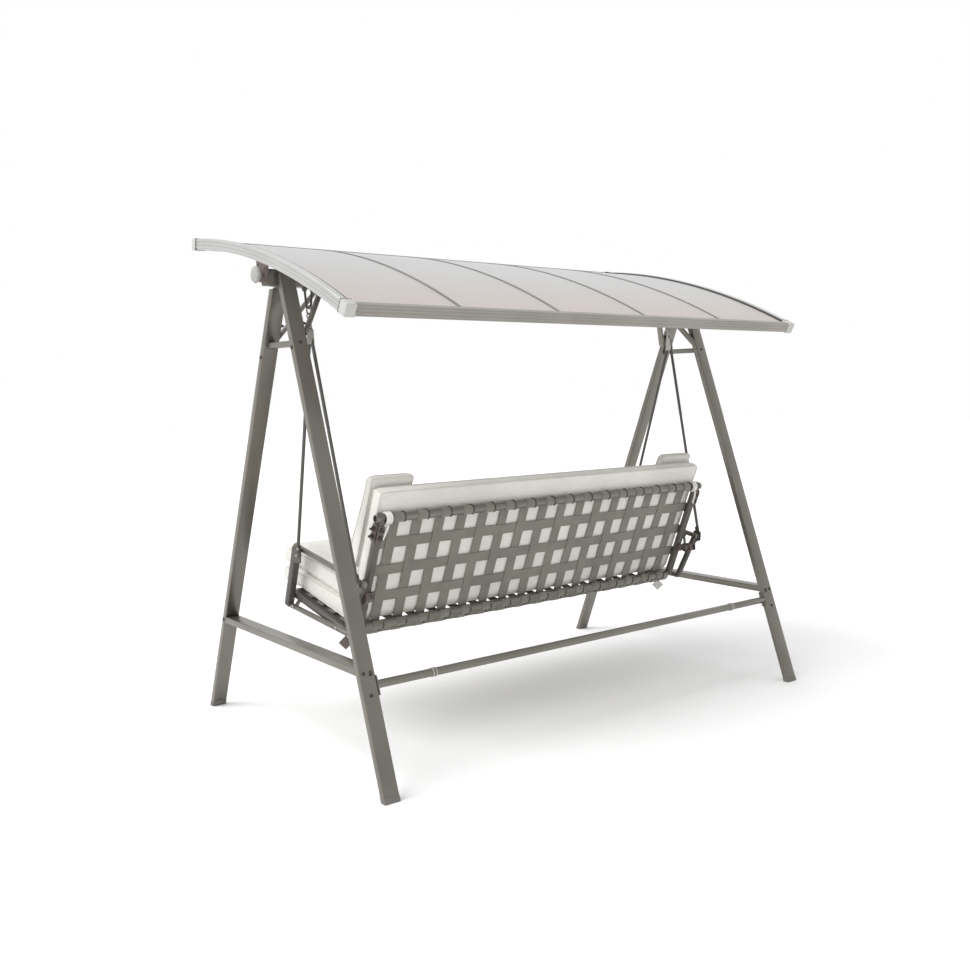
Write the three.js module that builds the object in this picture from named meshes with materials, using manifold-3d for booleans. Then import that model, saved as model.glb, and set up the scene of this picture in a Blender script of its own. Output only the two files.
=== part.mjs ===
// Three-seat garden swing with an arched canopy, millimetres, +Z up.
// The sitter looks towards -Y. "left" is the sitter's left, at +X.
// The origin is on the ground, midway between the feet.
import * as THREE from "three";
import { mergeVertices } from "three/addons/utils/BufferGeometryUtils.js";
import Module from "manifold-3d";

const wasm = await Module();
wasm.setup();

// Driving dimensions -------------------------------------------------------
const GAP = 0.3; // clearance between pieces that touch

const OUTER_HALF = 1000; // outer face of the A-frames, from the middle
const LEG_WIDTH = 55; // along X
const LEG_DEPTH = 23; // square to the leg, in the A-frame's plane
const FOOT_HALF = 636; // outer heel of each leg at the ground
const REAR_SLOPE = 0.357; // the rear leg's run in Y for each mm of height
const FRONT_SLOPE = 0.405;
const FOOT_CAP_HEIGHT = 18;
const FOOT_CAP_WALL = 1.5;

const BEAM_Y = 30;
const BEAM_DEPTH = 40;
const BEAM_LOW = 1556;
const BEAM_HIGH = 1610;
const BEAM_HALF = 1035;
const LEG_TOP = 1607;

const SIDE_BAR_Z = 367;
const SIDE_BAR_HEIGHT = 24;
const UPPER_BAR_Z = 1368;
const UPPER_BAR_HEIGHT = 20;
const UPPER_BAR_WIDTH = 30;
const BRACE_FOOT_Z = 1410;
const BRACE_TOP_X = 835;
const BRACE_WIDTH = 22;
const BRACE_THICK = 9;

const STRETCHER_Z = 325;
const STRETCHER_RADIUS = 13;
const STRETCHER_JOINT_X = 722;
const COLLAR_RADIUS = 15;
const COLLAR_LENGTH = 22;
const FLANGE_RADIUS = 29;
const FLANGE_THICK = 4;

const CANOPY_HALF = 1046;
const CANOPY_FRONT = [-520, 1771]; // upper front edge, (y, z)
const CANOPY_REAR = [571, 1458]; // upper rear edge
const CANOPY_RISE = 55; // height of the arch over its chord
const ARC_STEPS = 20;
const RAIL_WIDTH = 26;
const RAIL_HEIGHT = 40;
const CROSS_RAIL_DEPTH = 29;
const CORNER_SIZE = 36;
const PANEL_DROP = 9; // panels lie this far below the rails' crest
const PANEL_THICK = 4;
const RIB_WIDTH = 10;
const RIB_HEIGHT = 24;
const RIB_CRESTS = 6; // ribs lie this far below the rails' crest
const RIB_PITCH = 412;

const PIVOT_Z = 1590; // the canopy's tilting axis
const TILT_PLATE_FACE = CANOPY_HALF - 4; // outer face of the tilting plates
const TILT_PLATE_LOW = 24; // half the plate's length below the axis
const TILT_PLATE_HIGH = 40; // and under the rail
const KNOB_RADIUS = 27;
const KNOB_LENGTH = 25;
const KNOB_NECK = 10;

const HOOK_X = 880;
const HOOK_Y = 38;
const HOOK_Z = 1490; // the eye's lower bar, where the seat swings
const HOOK_WIRE = 4;
const HOOK_SPREAD_TOP = 14;
const HOOK_SPREAD_LOW = 8.5;
const RING_RADIUS = 14;
const RING_WIRE = 2.8;
const HANGER_APEX = [HOOK_X, 44, 1392];
const HANGER_FRONT = [844, -164, 640];
const HANGER_REAR = [844, 244, 586];
const ROD_RADIUS = 6;

const ARM_OUTER = 834; // outer face of the arm frames
const ARM_WIDTH = 25;
const ARM_FRONT = [-212, 655]; // the armrest's ends, (y, z)
const ARM_REAR = [252, 578];
const POST_FOOT_FRONT = [-290, 428];
const POST_HEAD_REAR = [245, 579];
const POST_FOOT_REAR = [148, 392];
const POST_DEPTH_FRONT = 30;
const POST_DEPTH_REAR = 18;
const LOW_RAIL_RADIUS = 10;
const SIDE_TUBE_RADIUS = 13;
const SIDE_TUBE_X = ARM_OUTER - ARM_WIDTH - 12;
const SEAT_SLOPE = -0.2; // the seat falls towards the rear
const SEAT_LEVEL = 425; // height of the seat webbing's upper face at y = 0
const TUBE_RADIUS = 15;
const SEAT_FRONT_Y = -296;
const SEAT_REAR_Y = 104;

const BACK_FOOT = [135, 409]; // axis of the back's lower tube, (y, z)
const BACK_HEAD = [288, 797]; // axis of the back's upper tube
const BACK_HALF = 775;
const STRAP_WIDTH = 39;
const STRAP_THICK = 2.5;
const STRAP_PITCH = 94.4;
const STRAP_COUNT = 16;
const CROSS_STRAPS = 3;

const CUSHION_HALF = 785;
const SEAT_PAD_THICK = 74;
const SEAT_PAD_FRONT = -428;
const SEAT_PAD_REARS = [[54, 66], [67, 81]]; // each pad's lower and upper rear edge, along the leaning back
const PAD_DROOP = 26; // how far the cushions hang down in front of the seat frame
const BACK_PAD_FOOT = 16; // the back cushion starts this far up the back
const BACK_PAD_THICK = 54;
const PILLOW_WIDTH = 190;
const PILLOW_THICK = 52;

// Finishes -----------------------------------------------------------------
const FINISH = {
  frame: { color: 0x7f7b74, roughness: 0.45, metalness: 0.6 },
  rail: { color: 0x9d9b96, roughness: 0.4, metalness: 0.6 },
  plastic: { color: 0xb9b8b4, roughness: 0.6, metalness: 0 },
  dark: { color: 0x4e4b47, roughness: 0.6, metalness: 0.2 },
  rod: { color: 0x55534e, roughness: 0.5, metalness: 0.6 },
  panel: { color: 0xd9d3cf, roughness: 0.35, metalness: 0, transparent: true, opacity: 0.6 },
  webbing: { color: 0x85826f, roughness: 0.85, metalness: 0 },
  fabric: { color: 0xc4c0b7, roughness: 0.95, metalness: 0 },
};

const swing = new THREE.Group();
swing.name = "glider_swing";
const SIDES = [["left", 1], ["right", -1]];

// Adds one named piece to a group.
function addPiece(group, name, geometry, finish) {
  const mesh = new THREE.Mesh(geometry, new THREE.MeshStandardMaterial(FINISH[finish]));
  mesh.name = name;
  group.add(mesh);
  return mesh;
}

// Shape helpers ------------------------------------------------------------
// A closed outline of [y, z] points, carried along X from x0 to x1.
function prismX(points, x0, x1) {
  const shape = new THREE.Shape(points.map(([y, z]) => new THREE.Vector2(y, z)));
  const low = Math.min(x0, x1);
  const geometry = new THREE.ExtrudeGeometry(shape, { depth: Math.abs(x1 - x0), bevelEnabled: false });
  const turn = new THREE.Matrix4().makeBasis(
    new THREE.Vector3(0, 1, 0),
    new THREE.Vector3(0, 0, 1),
    new THREE.Vector3(1, 0, 0),
  );
  return geometry.applyMatrix4(turn).translate(low, 0, 0);
}

// A box between two corners.
function block([x0, y0, z0], [x1, y1, z1]) {
  const geometry = new THREE.BoxGeometry(Math.abs(x1 - x0), Math.abs(y1 - y0), Math.abs(z1 - z0));
  return geometry.translate((x0 + x1) / 2, (y0 + y1) / 2, (z0 + z1) / 2);
}

// A round bar from one point to another.
function bar(from, to, radius, sides = 16) {
  const start = new THREE.Vector3(...from);
  const end = new THREE.Vector3(...to);
  const run = end.clone().sub(start);
  const geometry = new THREE.CylinderGeometry(radius, radius, run.length(), sides);
  const turn = new THREE.Quaternion().setFromUnitVectors(new THREE.Vector3(0, 1, 0), run.normalize());
  const middle = start.add(end).multiplyScalar(0.5);
  return geometry.applyQuaternion(turn).translate(middle.x, middle.y, middle.z);
}

// A flat bar from one point to another, its width along the direction given.
function flatBar(from, to, width, thick, widthAlong) {
  const start = new THREE.Vector3(...from);
  const end = new THREE.Vector3(...to);
  const run = end.clone().sub(start);
  const length = run.length();
  const long = run.normalize();
  const across = new THREE.Vector3(...widthAlong);
  across.addScaledVector(long, -across.dot(long)).normalize();
  const third = new THREE.Vector3().crossVectors(long, across);
  const turn = new THREE.Matrix4().makeBasis(across, third, long);
  const middle = start.add(end).multiplyScalar(0.5);
  const geometry = new THREE.BoxGeometry(width, thick, length);
  return geometry.applyMatrix4(turn).translate(middle.x, middle.y, middle.z);
}

function toSolid(geometry) {
  const bare = geometry.clone();
  bare.deleteAttribute("normal");
  bare.deleteAttribute("uv");
  const merged = mergeVertices(bare, 1e-4);
  return new wasm.Manifold(new wasm.Mesh({
    numProp: 3,
    vertProperties: new Float32Array(merged.attributes.position.array),
    triVerts: new Uint32Array(merged.index.array),
  }));
}

function toGeometry(solid) {
  const mesh = solid.getMesh();
  const geometry = new THREE.BufferGeometry();
  geometry.setAttribute("position", new THREE.BufferAttribute(new Float32Array(mesh.vertProperties), 3));
  geometry.setIndex(new THREE.BufferAttribute(new Uint32Array(mesh.triVerts), 1));
  geometry.computeVertexNormals();
  return geometry;
}

// Joins geometries that overlap into one body.
function weld(...geometries) {
  return toGeometry(geometries.map(toSolid).reduce((whole, next) => whole.add(next)));
}

// Mirrors a geometry to the other side, keeping its faces pointing out.
function toSide(geometry, sign) {
  if (sign > 0) {
    return geometry;
  }
  const flat = geometry.index ? geometry.toNonIndexed() : geometry.clone();
  const position = flat.attributes.position;
  for (let first = 0; first < position.count; first += 3) {
    const corners = [0, 1, 2].map((k) => new THREE.Vector3().fromBufferAttribute(position, first + k));
    corners.reverse().forEach((corner, k) => position.setXYZ(first + k, -corner.x, corner.y, corner.z));
  }
  flat.computeVertexNormals();
  return flat;
}

// A-frames -----------------------------------------------------------------
const LEG_INNER = OUTER_HALF - LEG_WIDTH;
const REAR_RUN = LEG_DEPTH * Math.hypot(1, REAR_SLOPE); // the leg's depth measured along Y
const FRONT_RUN = LEG_DEPTH * Math.hypot(1, FRONT_SLOPE);
const rearHeel = (z) => FOOT_HALF - REAR_SLOPE * z;
const rearInside = (z) => rearHeel(z) - REAR_RUN;
const frontToe = (z) => -FOOT_HALF + FRONT_SLOPE * z;
const frontInside = (z) => frontToe(z) + FRONT_RUN;

// The four corners of a slanted leg section between two heights, grown by a wall.
function legOutline(toFace, fromFace, low, high, wall = 0) {
  return [
    [fromFace(low) - wall, low],
    [toFace(low) + wall, low],
    [toFace(high) + wall, high],
    [fromFace(high) - wall, high],
  ];
}

function addLegs(group, side, sign) {
  const inner = sign * LEG_INNER;
  const outer = sign * OUTER_HALF;
  const beamBack = BEAM_Y + BEAM_DEPTH / 2 + GAP;
  const meetZ = (FOOT_HALF - REAR_RUN - beamBack) / REAR_SLOPE; // the leg's face meets the beam here
  const low = FOOT_CAP_HEIGHT + GAP;
  const rear = [
    [rearInside(low), low],
    [rearHeel(low), low],
    [rearHeel(LEG_TOP), LEG_TOP],
    [beamBack, LEG_TOP],
    [beamBack, meetZ],
  ];
  const front = legOutline(frontInside, frontToe, low, BEAM_LOW - 6);
  addPiece(group, `rear_leg_${side}`, prismX(rear, inner, outer), "frame");
  addPiece(group, `front_leg_${side}`, prismX(front, inner, outer), "frame");

  const capInner = sign * (LEG_INNER - FOOT_CAP_WALL);
  const capOuter = sign * (OUTER_HALF + FOOT_CAP_WALL);
  const rearCap = legOutline(rearHeel, rearInside, 0, FOOT_CAP_HEIGHT, FOOT_CAP_WALL);
  const frontCap = legOutline(frontInside, frontToe, 0, FOOT_CAP_HEIGHT, FOOT_CAP_WALL);
  addPiece(group, `foot_cap_rear_${side}`, prismX(rearCap, capInner, capOuter), "dark");
  addPiece(group, `foot_cap_front_${side}`, prismX(frontCap, capInner, capOuter), "dark");
}

function addCrossbars(group, side, sign) {
  const spans = [
    ["side_crossbar", SIDE_BAR_Z, SIDE_BAR_HEIGHT, LEG_INNER + 1, OUTER_HALF - 1],
    ["upper_crossbar", UPPER_BAR_Z, UPPER_BAR_HEIGHT, LEG_INNER + 11, LEG_INNER + 11 + UPPER_BAR_WIDTH],
  ];
  for (const [name, middle, height, x0, x1] of spans) {
    const low = middle - height / 2;
    const high = middle + height / 2;
    const outline = legOutline(rearInside, frontInside, low, high, -GAP);
    addPiece(group, `${name}_${side}`, prismX(outline, sign * x0, sign * x1), "frame");
  }
}

function addBraces(group, side, sign) {
  const feet = [
    ["rear", rearHeel(BRACE_FOOT_Z) - REAR_RUN / 2, BEAM_Y + 15],
    ["front", frontToe(BRACE_FOOT_Z) + FRONT_RUN / 2, BEAM_Y - 15],
  ];
  for (const [name, footY, topY] of feet) {
    const foot = [LEG_INNER - BRACE_THICK, footY, BRACE_FOOT_Z];
    const top = [BRACE_TOP_X, topY, BEAM_LOW - 7];
    const geometry = flatBar(foot, top, BRACE_WIDTH, BRACE_THICK, [0, 1, 0]);
    addPiece(group, `${name}_brace_${side}`, toSide(geometry, sign), "frame");
  }
}

// A wire eye whose lower bar is the axis that the seat swings about.
function addHook(group, side, sign) {
  const top = BEAM_LOW - GAP;
  const low = HOOK_SPREAD_LOW + 3;
  const wire = (way) => bar(
    [HOOK_X + way * HOOK_SPREAD_TOP, HOOK_Y, top - 2],
    [HOOK_X + way * HOOK_SPREAD_LOW, HOOK_Y, HOOK_Z],
    HOOK_WIRE,
    12,
  );
  const geometry = weld(
    block([HOOK_X - 20, HOOK_Y - 11, top - 4], [HOOK_X + 20, HOOK_Y + 11, top]),
    wire(-1),
    wire(1),
    bar([HOOK_X - low, HOOK_Y, HOOK_Z], [HOOK_X + low, HOOK_Y, HOOK_Z], HOOK_WIRE, 12),
  );
  addPiece(group, `hook_${side}`, toSide(geometry, sign), "rod");
}

function addStretcher(group) {
  const y = rearHeel(STRETCHER_Z) - REAR_RUN / 2;
  const along = (x0, x1, radius) => bar([x0, y, STRETCHER_Z], [x1, y, STRETCHER_Z], radius, 20);
  const joint = STRETCHER_JOINT_X;
  addPiece(group, "stretcher_middle", along(-joint + GAP, joint - GAP, STRETCHER_RADIUS), "frame");
  for (const [side, sign] of SIDES) {
    const end = LEG_INNER - GAP;
    const geometry = weld(
      along(joint, end - 1, STRETCHER_RADIUS),
      along(joint, joint + COLLAR_LENGTH, COLLAR_RADIUS),
      along(end - FLANGE_THICK, end, FLANGE_RADIUS),
    );
    addPiece(group, `stretcher_end_${side}`, toSide(geometry, sign), "frame");
  }
}

const stand = new THREE.Group();
for (const [side, sign] of SIDES) {
  addLegs(stand, side, sign);
  addCrossbars(stand, side, sign);
  addBraces(stand, side, sign);
  addHook(stand, side, sign);
}
const beamFrom = [-BEAM_HALF, BEAM_Y - BEAM_DEPTH / 2, BEAM_LOW];
const beamTo = [BEAM_HALF, BEAM_Y + BEAM_DEPTH / 2, BEAM_HIGH];
addPiece(stand, "top_beam", block(beamFrom, beamTo), "frame");
addStretcher(stand);
swing.add(stand);

// Canopy -------------------------------------------------------------------
// The crest line is a circular arc in the YZ plane.
const chord = new THREE.Vector2(...CANOPY_REAR).sub(new THREE.Vector2(...CANOPY_FRONT));
const halfChord = chord.length() / 2;
const arcRadius = (halfChord ** 2 + CANOPY_RISE ** 2) / (2 * CANOPY_RISE);
const chordNormal = new THREE.Vector2(-chord.y, chord.x).normalize();
const arcCentre = new THREE.Vector2(...CANOPY_FRONT)
  .addScaledVector(chord, 0.5)
  .addScaledVector(chordNormal, CANOPY_RISE - arcRadius);
const arcFrom = Math.atan2(CANOPY_FRONT[1] - arcCentre.y, CANOPY_FRONT[0] - arcCentre.x);
const arcTo = Math.atan2(CANOPY_REAR[1] - arcCentre.y, CANOPY_REAR[0] - arcCentre.x);

// Height of the arch at a given y, some way below its crest line.
function archZ(y, drop = 0) {
  return arcCentre.y + Math.sqrt((arcRadius - drop) ** 2 - (y - arcCentre.x) ** 2);
}

// A curved band between two depths under the crest, from y0 to y1.
function archBand(topDrop, bottomDrop, y0, y1) {
  const points = [];
  const bottom = [];
  for (let step = 0; step <= ARC_STEPS; step += 1) {
    const y = y0 + ((y1 - y0) * step) / ARC_STEPS;
    points.push([y, archZ(y, bottomDrop)]);
    bottom.unshift([y, archZ(y, topDrop)]);
  }
  return points.concat(bottom);
}

const canopy = new THREE.Group();
const cornerFront = CANOPY_FRONT[0] + CORNER_SIZE;
const cornerRear = CANOPY_REAR[0] - CORNER_SIZE;
const railInner = CANOPY_HALF - RAIL_WIDTH;
const cornerInner = CANOPY_HALF - CORNER_SIZE;
const betweenCorners = cornerInner - GAP;

for (const [side, sign] of SIDES) {
  const rail = archBand(0, RAIL_HEIGHT, cornerFront + GAP, cornerRear - GAP);
  addPiece(canopy, `canopy_rail_${side}`, prismX(rail, sign * railInner, sign * CANOPY_HALF), "rail");
  const corners = [
    ["front", CANOPY_FRONT[0], cornerFront],
    ["rear", cornerRear, CANOPY_REAR[0]],
  ];
  for (const [end, y0, y1] of corners) {
    const outline = archBand(-1, RAIL_HEIGHT + 1, y0, y1);
    const geometry = prismX(outline, sign * cornerInner, sign * (CANOPY_HALF + 1));
    addPiece(canopy, `canopy_corner_${end}_${side}`, geometry, "plastic");
  }
  const underRail = (y) => archZ(y, RAIL_HEIGHT + 2 * GAP);
  const plate = [
    [BEAM_Y - TILT_PLATE_LOW, PIVOT_Z - 22],
    [BEAM_Y + TILT_PLATE_LOW, PIVOT_Z - 22],
    [BEAM_Y + TILT_PLATE_HIGH, underRail(BEAM_Y + TILT_PLATE_HIGH)],
    [BEAM_Y - TILT_PLATE_HIGH, underRail(BEAM_Y - TILT_PLATE_HIGH)],
  ];
  const geometry = prismX(plate, sign * (BEAM_HALF + GAP), sign * TILT_PLATE_FACE);
  addPiece(canopy, `tilt_bracket_${side}`, geometry, "dark");
}

const crossRails = [
  ["front", CANOPY_FRONT[0] + 1, CANOPY_FRONT[0] + CROSS_RAIL_DEPTH],
  ["rear", CANOPY_REAR[0] - CROSS_RAIL_DEPTH, CANOPY_REAR[0] - 1],
];
for (const [end, y0, y1] of crossRails) {
  const outline = archBand(0, RAIL_HEIGHT - 2, y0, y1);
  addPiece(canopy, `canopy_rail_${end}`, prismX(outline, -betweenCorners, betweenCorners), "rail");
}

const panelFrom = CANOPY_FRONT[0] + CROSS_RAIL_DEPTH + GAP;
const panelTo = CANOPY_REAR[0] - CROSS_RAIL_DEPTH - GAP;
const ribOutline = archBand(RIB_CRESTS, RIB_CRESTS + RIB_HEIGHT, panelFrom, panelTo);
const ribPlaces = [-1.5, -0.5, 0.5, 1.5].map((k) => k * RIB_PITCH);
ribPlaces.forEach((x, index) => {
  const geometry = prismX(ribOutline, x - RIB_WIDTH / 2, x + RIB_WIDTH / 2);
  addPiece(canopy, `canopy_rib_${index + 1}`, geometry, "dark");
});

const panelOutline = archBand(PANEL_DROP, PANEL_DROP + PANEL_THICK, panelFrom, panelTo);
const panelEdges = [
  -betweenCorners,
  ...ribPlaces.flatMap((x) => [x - RIB_WIDTH / 2 - GAP, x + RIB_WIDTH / 2 + GAP]),
  betweenCorners,
];
for (let index = 0; index < 5; index += 1) {
  const geometry = prismX(panelOutline, panelEdges[2 * index], panelEdges[2 * index + 1]);
  addPiece(canopy, `canopy_panel_${index + 1}`, geometry, "panel");
}
swing.add(canopy);

// Clamp knobs at the ends of the beam.
for (const [side, sign] of SIDES) {
  const profile = [
    [0, 0],
    [7, 0],
    [7, KNOB_NECK],
    [KNOB_RADIUS - 6, KNOB_NECK],
    [KNOB_RADIUS, KNOB_NECK + 7],
    [KNOB_RADIUS - 1, KNOB_NECK + 15],
    [KNOB_RADIUS - 8, KNOB_NECK + KNOB_LENGTH - 3],
    [0, KNOB_NECK + KNOB_LENGTH],
  ].map(([r, h]) => new THREE.Vector2(r, h));
  const geometry = new THREE.LatheGeometry(profile, 24);
  const knob = addPiece(swing, `knob_${side}`, geometry, "plastic");
  knob.position.set(sign * (TILT_PLATE_FACE + GAP), BEAM_Y, PIVOT_Z);
  knob.rotation.z = (-sign * Math.PI) / 2;
}

// Hangers and arm frames ---------------------------------------------------
const seat = new THREE.Group();
const seatZ = (y, drop = 0) => SEAT_LEVEL + SEAT_SLOPE * y - drop;
const ARM_MID = ARM_OUTER - ARM_WIDTH / 2;

function addHanger(group, side, sign) {
  const [x, y, z] = HANGER_APEX;
  const ringZ = HOOK_Z + HOOK_WIRE + RING_WIRE + 0.4 - RING_RADIUS;
  const ring = new THREE.TorusGeometry(RING_RADIUS, RING_WIRE, 10, 24).rotateY(Math.PI / 2);
  const ringLow = ringZ - RING_RADIUS;
  const geometry = weld(
    ring.translate(x, HOOK_Y, ringZ),
    bar([x, HOOK_Y, HOOK_Z - 58], [x, HOOK_Y, ringLow + 1], 6, 12),
    bar([x, y - 2, z + 4], [x, HOOK_Y, HOOK_Z - 48], 8, 12),
    block([x - 7, y - 16, z - 24], [x + 7, y + 16, z + 24]),
    bar([x, y - 6, z], HANGER_FRONT, ROD_RADIUS, 14),
    bar([x, y + 6, z], HANGER_REAR, ROD_RADIUS, 14),
  );
  addPiece(group, `hanger_${side}`, toSide(geometry, sign), "rod");
}

// One welded side: upright, armrest, rear post, lower rail and seat side tube.
function addArmFrame(group, side, sign) {
  const at = ([y, z]) => [ARM_MID, y, z];
  const railZ = (y) => {
    const share = (y - POST_FOOT_FRONT[0]) / (POST_FOOT_REAR[0] - POST_FOOT_FRONT[0]);
    return THREE.MathUtils.lerp(POST_FOOT_FRONT[1], POST_FOOT_REAR[1], share) + 2;
  };
  const railEnd = (y) => at([y, railZ(y)]);
  const tubeEnd = (y) => [SIDE_TUBE_X, y, seatZ(y, 16)];
  const tab = (y) => {
    const top = Math.max(seatZ(y, 12), railZ(y));
    return block([SIDE_TUBE_X, y - 10, railZ(y) - 6], [ARM_MID, y + 10, top]);
  };
  const geometry = weld(
    flatBar(at(POST_FOOT_FRONT), at(ARM_FRONT), ARM_WIDTH, POST_DEPTH_FRONT, [1, 0, 0]),
    bar(at([ARM_FRONT[0] - 10, ARM_FRONT[1] + 2]), at(ARM_REAR), 10, 16),
    flatBar(at(POST_FOOT_REAR), at(POST_HEAD_REAR), ARM_WIDTH - 5, POST_DEPTH_REAR, [1, 0, 0]),
    bar(railEnd(POST_FOOT_FRONT[0]), railEnd(POST_FOOT_REAR[0]), LOW_RAIL_RADIUS, 16),
    bar(tubeEnd(SEAT_FRONT_Y), tubeEnd(SEAT_REAR_Y), SIDE_TUBE_RADIUS, 16),
    tab(-240),
    tab(70),
  );
  addPiece(group, `arm_frame_${side}`, toSide(geometry, sign), "frame");
}

for (const [side, sign] of SIDES) {
  addHanger(seat, side, sign);
  addArmFrame(seat, side, sign);
}

// Seat frame and webbing.
const crossTube = (y, z, half) => bar([-half, y, z], [half, y, z], TUBE_RADIUS, 20);
const seatTubeHalf = SIDE_TUBE_X - SIDE_TUBE_RADIUS - GAP;
addPiece(seat, "seat_tube_front", crossTube(SEAT_FRONT_Y, seatZ(SEAT_FRONT_Y, 16), seatTubeHalf), "frame");
addPiece(seat, "seat_tube_rear", crossTube(SEAT_REAR_Y, seatZ(SEAT_REAR_Y, 16), seatTubeHalf), "frame");

// A lattice of flat straps in the XY plane, long straps along Y.
function lattice(halfX, lengthY, longCount, crossCount) {
  const straps = [];
  for (let index = 0; index < longCount; index += 1) {
    const x = (index - (longCount - 1) / 2) * STRAP_PITCH;
    straps.push(block([x - STRAP_WIDTH / 2, 0, 0], [x + STRAP_WIDTH / 2, lengthY, STRAP_THICK]));
  }
  for (let index = 0; index < crossCount; index += 1) {
    const y = (lengthY * (index + 1)) / (crossCount + 1);
    straps.push(block([-halfX, y - STRAP_WIDTH / 2, 0], [halfX, y + STRAP_WIDTH / 2, STRAP_THICK]));
  }
  return weld(...straps);
}

const seatLength = (SEAT_REAR_Y - SEAT_FRONT_Y) * Math.hypot(1, SEAT_SLOPE);
const seatLattice = lattice(seatTubeHalf, seatLength, STRAP_COUNT, 4);
const seatWebbing = addPiece(seat, "seat_webbing", seatLattice, "webbing");
seatWebbing.position.set(0, SEAT_FRONT_Y, seatZ(SEAT_FRONT_Y, 0));
seatWebbing.rotation.x = Math.atan(SEAT_SLOPE);

// Seat cushions, two alike, one on the other. Points on the seat are given
// as [along the seat towards the rear, up from the webbing].
const seatAngle = Math.atan(SEAT_SLOPE);
const onSeat = ([along, up]) => [
  along * Math.cos(seatAngle) - up * Math.sin(seatAngle),
  SEAT_LEVEL + along * Math.sin(seatAngle) + up * Math.cos(seatAngle),
];
const SOFT = 10; // corners of the plain cushion solids
["lower", "upper"].forEach((name, layer) => {
  const low = STRAP_THICK + 1.2 + layer * (SEAT_PAD_THICK + 1);
  const high = low + SEAT_PAD_THICK;
  const edge = SEAT_FRONT_Y - TUBE_RADIUS;
  const [rearLow, rearHigh] = SEAT_PAD_REARS[layer];
  const outline = [
    [SEAT_PAD_FRONT + SOFT, low - PAD_DROOP],
    [edge - 35, low - 0.4 * PAD_DROOP],
    [edge, low],
    [rearLow, low],
    [rearHigh, high - SOFT],
    [rearHigh - SOFT, high],
    [edge, high],
    [edge - 35, high - 0.4 * PAD_DROOP],
    [SEAT_PAD_FRONT + SOFT, high - PAD_DROOP],
    [SEAT_PAD_FRONT, high - PAD_DROOP - SOFT],
    [SEAT_PAD_FRONT, low - PAD_DROOP + SOFT],
  ].map(onSeat);
  const half = CUSHION_HALF - SOFT / 2;
  addPiece(seat, `seat_cushion_${name}`, prismX(outline, -half, half), "fabric");
});
swing.add(seat);

// Back ---------------------------------------------------------------------
// Points on the back are given as [up the back, towards the sitter].
const back = new THREE.Group();
const backUp = new THREE.Vector2(...BACK_HEAD).sub(new THREE.Vector2(...BACK_FOOT));
const backLength = backUp.length();
backUp.normalize();
const backFacing = new THREE.Vector2(-backUp.y, backUp.x);
const onBack = ([up, out]) => [
  BACK_FOOT[0] + backUp.x * up + backFacing.x * out,
  BACK_FOOT[1] + backUp.y * up + backFacing.y * out,
];

const backHalfTube = BACK_HALF - TUBE_RADIUS - GAP;
addPiece(back, "back_tube_lower", crossTube(...BACK_FOOT, backHalfTube), "frame");
addPiece(back, "back_tube_upper", crossTube(...BACK_HEAD, backHalfTube), "frame");
for (const [side, sign] of SIDES) {
  const foot = onBack([-2, 0]);
  const head = onBack([backLength + TUBE_RADIUS, 0]);
  const geometry = bar([BACK_HALF, ...foot], [BACK_HALF, ...head], TUBE_RADIUS, 20);
  addPiece(back, `back_tube_${side}`, toSide(geometry, sign), "frame");
}

const backWebbing = lattice(BACK_HALF, backLength, STRAP_COUNT, CROSS_STRAPS);
const webbing = addPiece(back, "back_webbing", backWebbing, "webbing");
const [webY, webZ] = onBack([0, TUBE_RADIUS + 2 * GAP]);
webbing.position.set(0, webY, webZ);
webbing.rotation.x = Math.atan2(backUp.y, backUp.x);

const padRear = TUBE_RADIUS + STRAP_THICK + 3;
const padFront = padRear + BACK_PAD_THICK;
const backPad = [
  [BACK_PAD_FOOT, padRear],
  [BACK_PAD_FOOT, padFront - 16],
  [BACK_PAD_FOOT + 14, padFront],
  [486, padFront],
  [506, padFront - 14],
  [510, padRear + 4],
  [494, padRear - 9],
  [446, padRear - 6],
  [432, padRear],
].map(onBack);
addPiece(back, "back_cushion", prismX(backPad, -CUSHION_HALF, CUSHION_HALF), "fabric");

for (const [side, sign] of SIDES) {
  const rear = padFront + 1;
  const outline = [
    [186, rear],
    [180, rear + 12],
    [180, rear + PILLOW_THICK + 10],
    [192, rear + PILLOW_THICK + 20],
    [532, rear + PILLOW_THICK - 14],
    [542, rear + PILLOW_THICK - 26],
    [540, rear + 6],
    [530, rear],
  ].map(onBack);
  const outer = CUSHION_HALF + 5;
  const geometry = prismX(outline, sign * (outer - PILLOW_WIDTH), sign * outer);
  addPiece(back, `pillow_${side}`, geometry, "fabric");
}
swing.add(back);

export default swing;
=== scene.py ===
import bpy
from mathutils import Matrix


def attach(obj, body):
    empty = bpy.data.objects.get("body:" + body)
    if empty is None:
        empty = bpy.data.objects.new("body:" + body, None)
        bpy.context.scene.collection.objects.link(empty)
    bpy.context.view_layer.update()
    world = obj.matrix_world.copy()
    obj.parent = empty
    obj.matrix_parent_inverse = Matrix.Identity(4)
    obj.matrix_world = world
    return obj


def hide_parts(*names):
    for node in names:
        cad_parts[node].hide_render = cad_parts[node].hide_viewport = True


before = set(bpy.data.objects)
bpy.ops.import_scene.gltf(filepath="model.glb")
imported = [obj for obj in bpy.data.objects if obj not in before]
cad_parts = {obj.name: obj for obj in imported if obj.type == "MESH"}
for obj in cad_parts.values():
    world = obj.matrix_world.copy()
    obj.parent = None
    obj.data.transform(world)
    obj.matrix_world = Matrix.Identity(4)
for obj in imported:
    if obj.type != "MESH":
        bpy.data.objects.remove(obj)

"""Garden swing with an arched canopy: the finished meshes and materials, in metres.

The sitter looks towards -Y, and the sitter's left is at +X.
"""

import logging
import math
from dataclasses import dataclass, field
from enum import Enum
from typing import Callable, Iterable, Sequence

import bmesh
import bpy
from mathutils import Matrix, Vector
from mathutils.bvhtree import BVHTree

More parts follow.
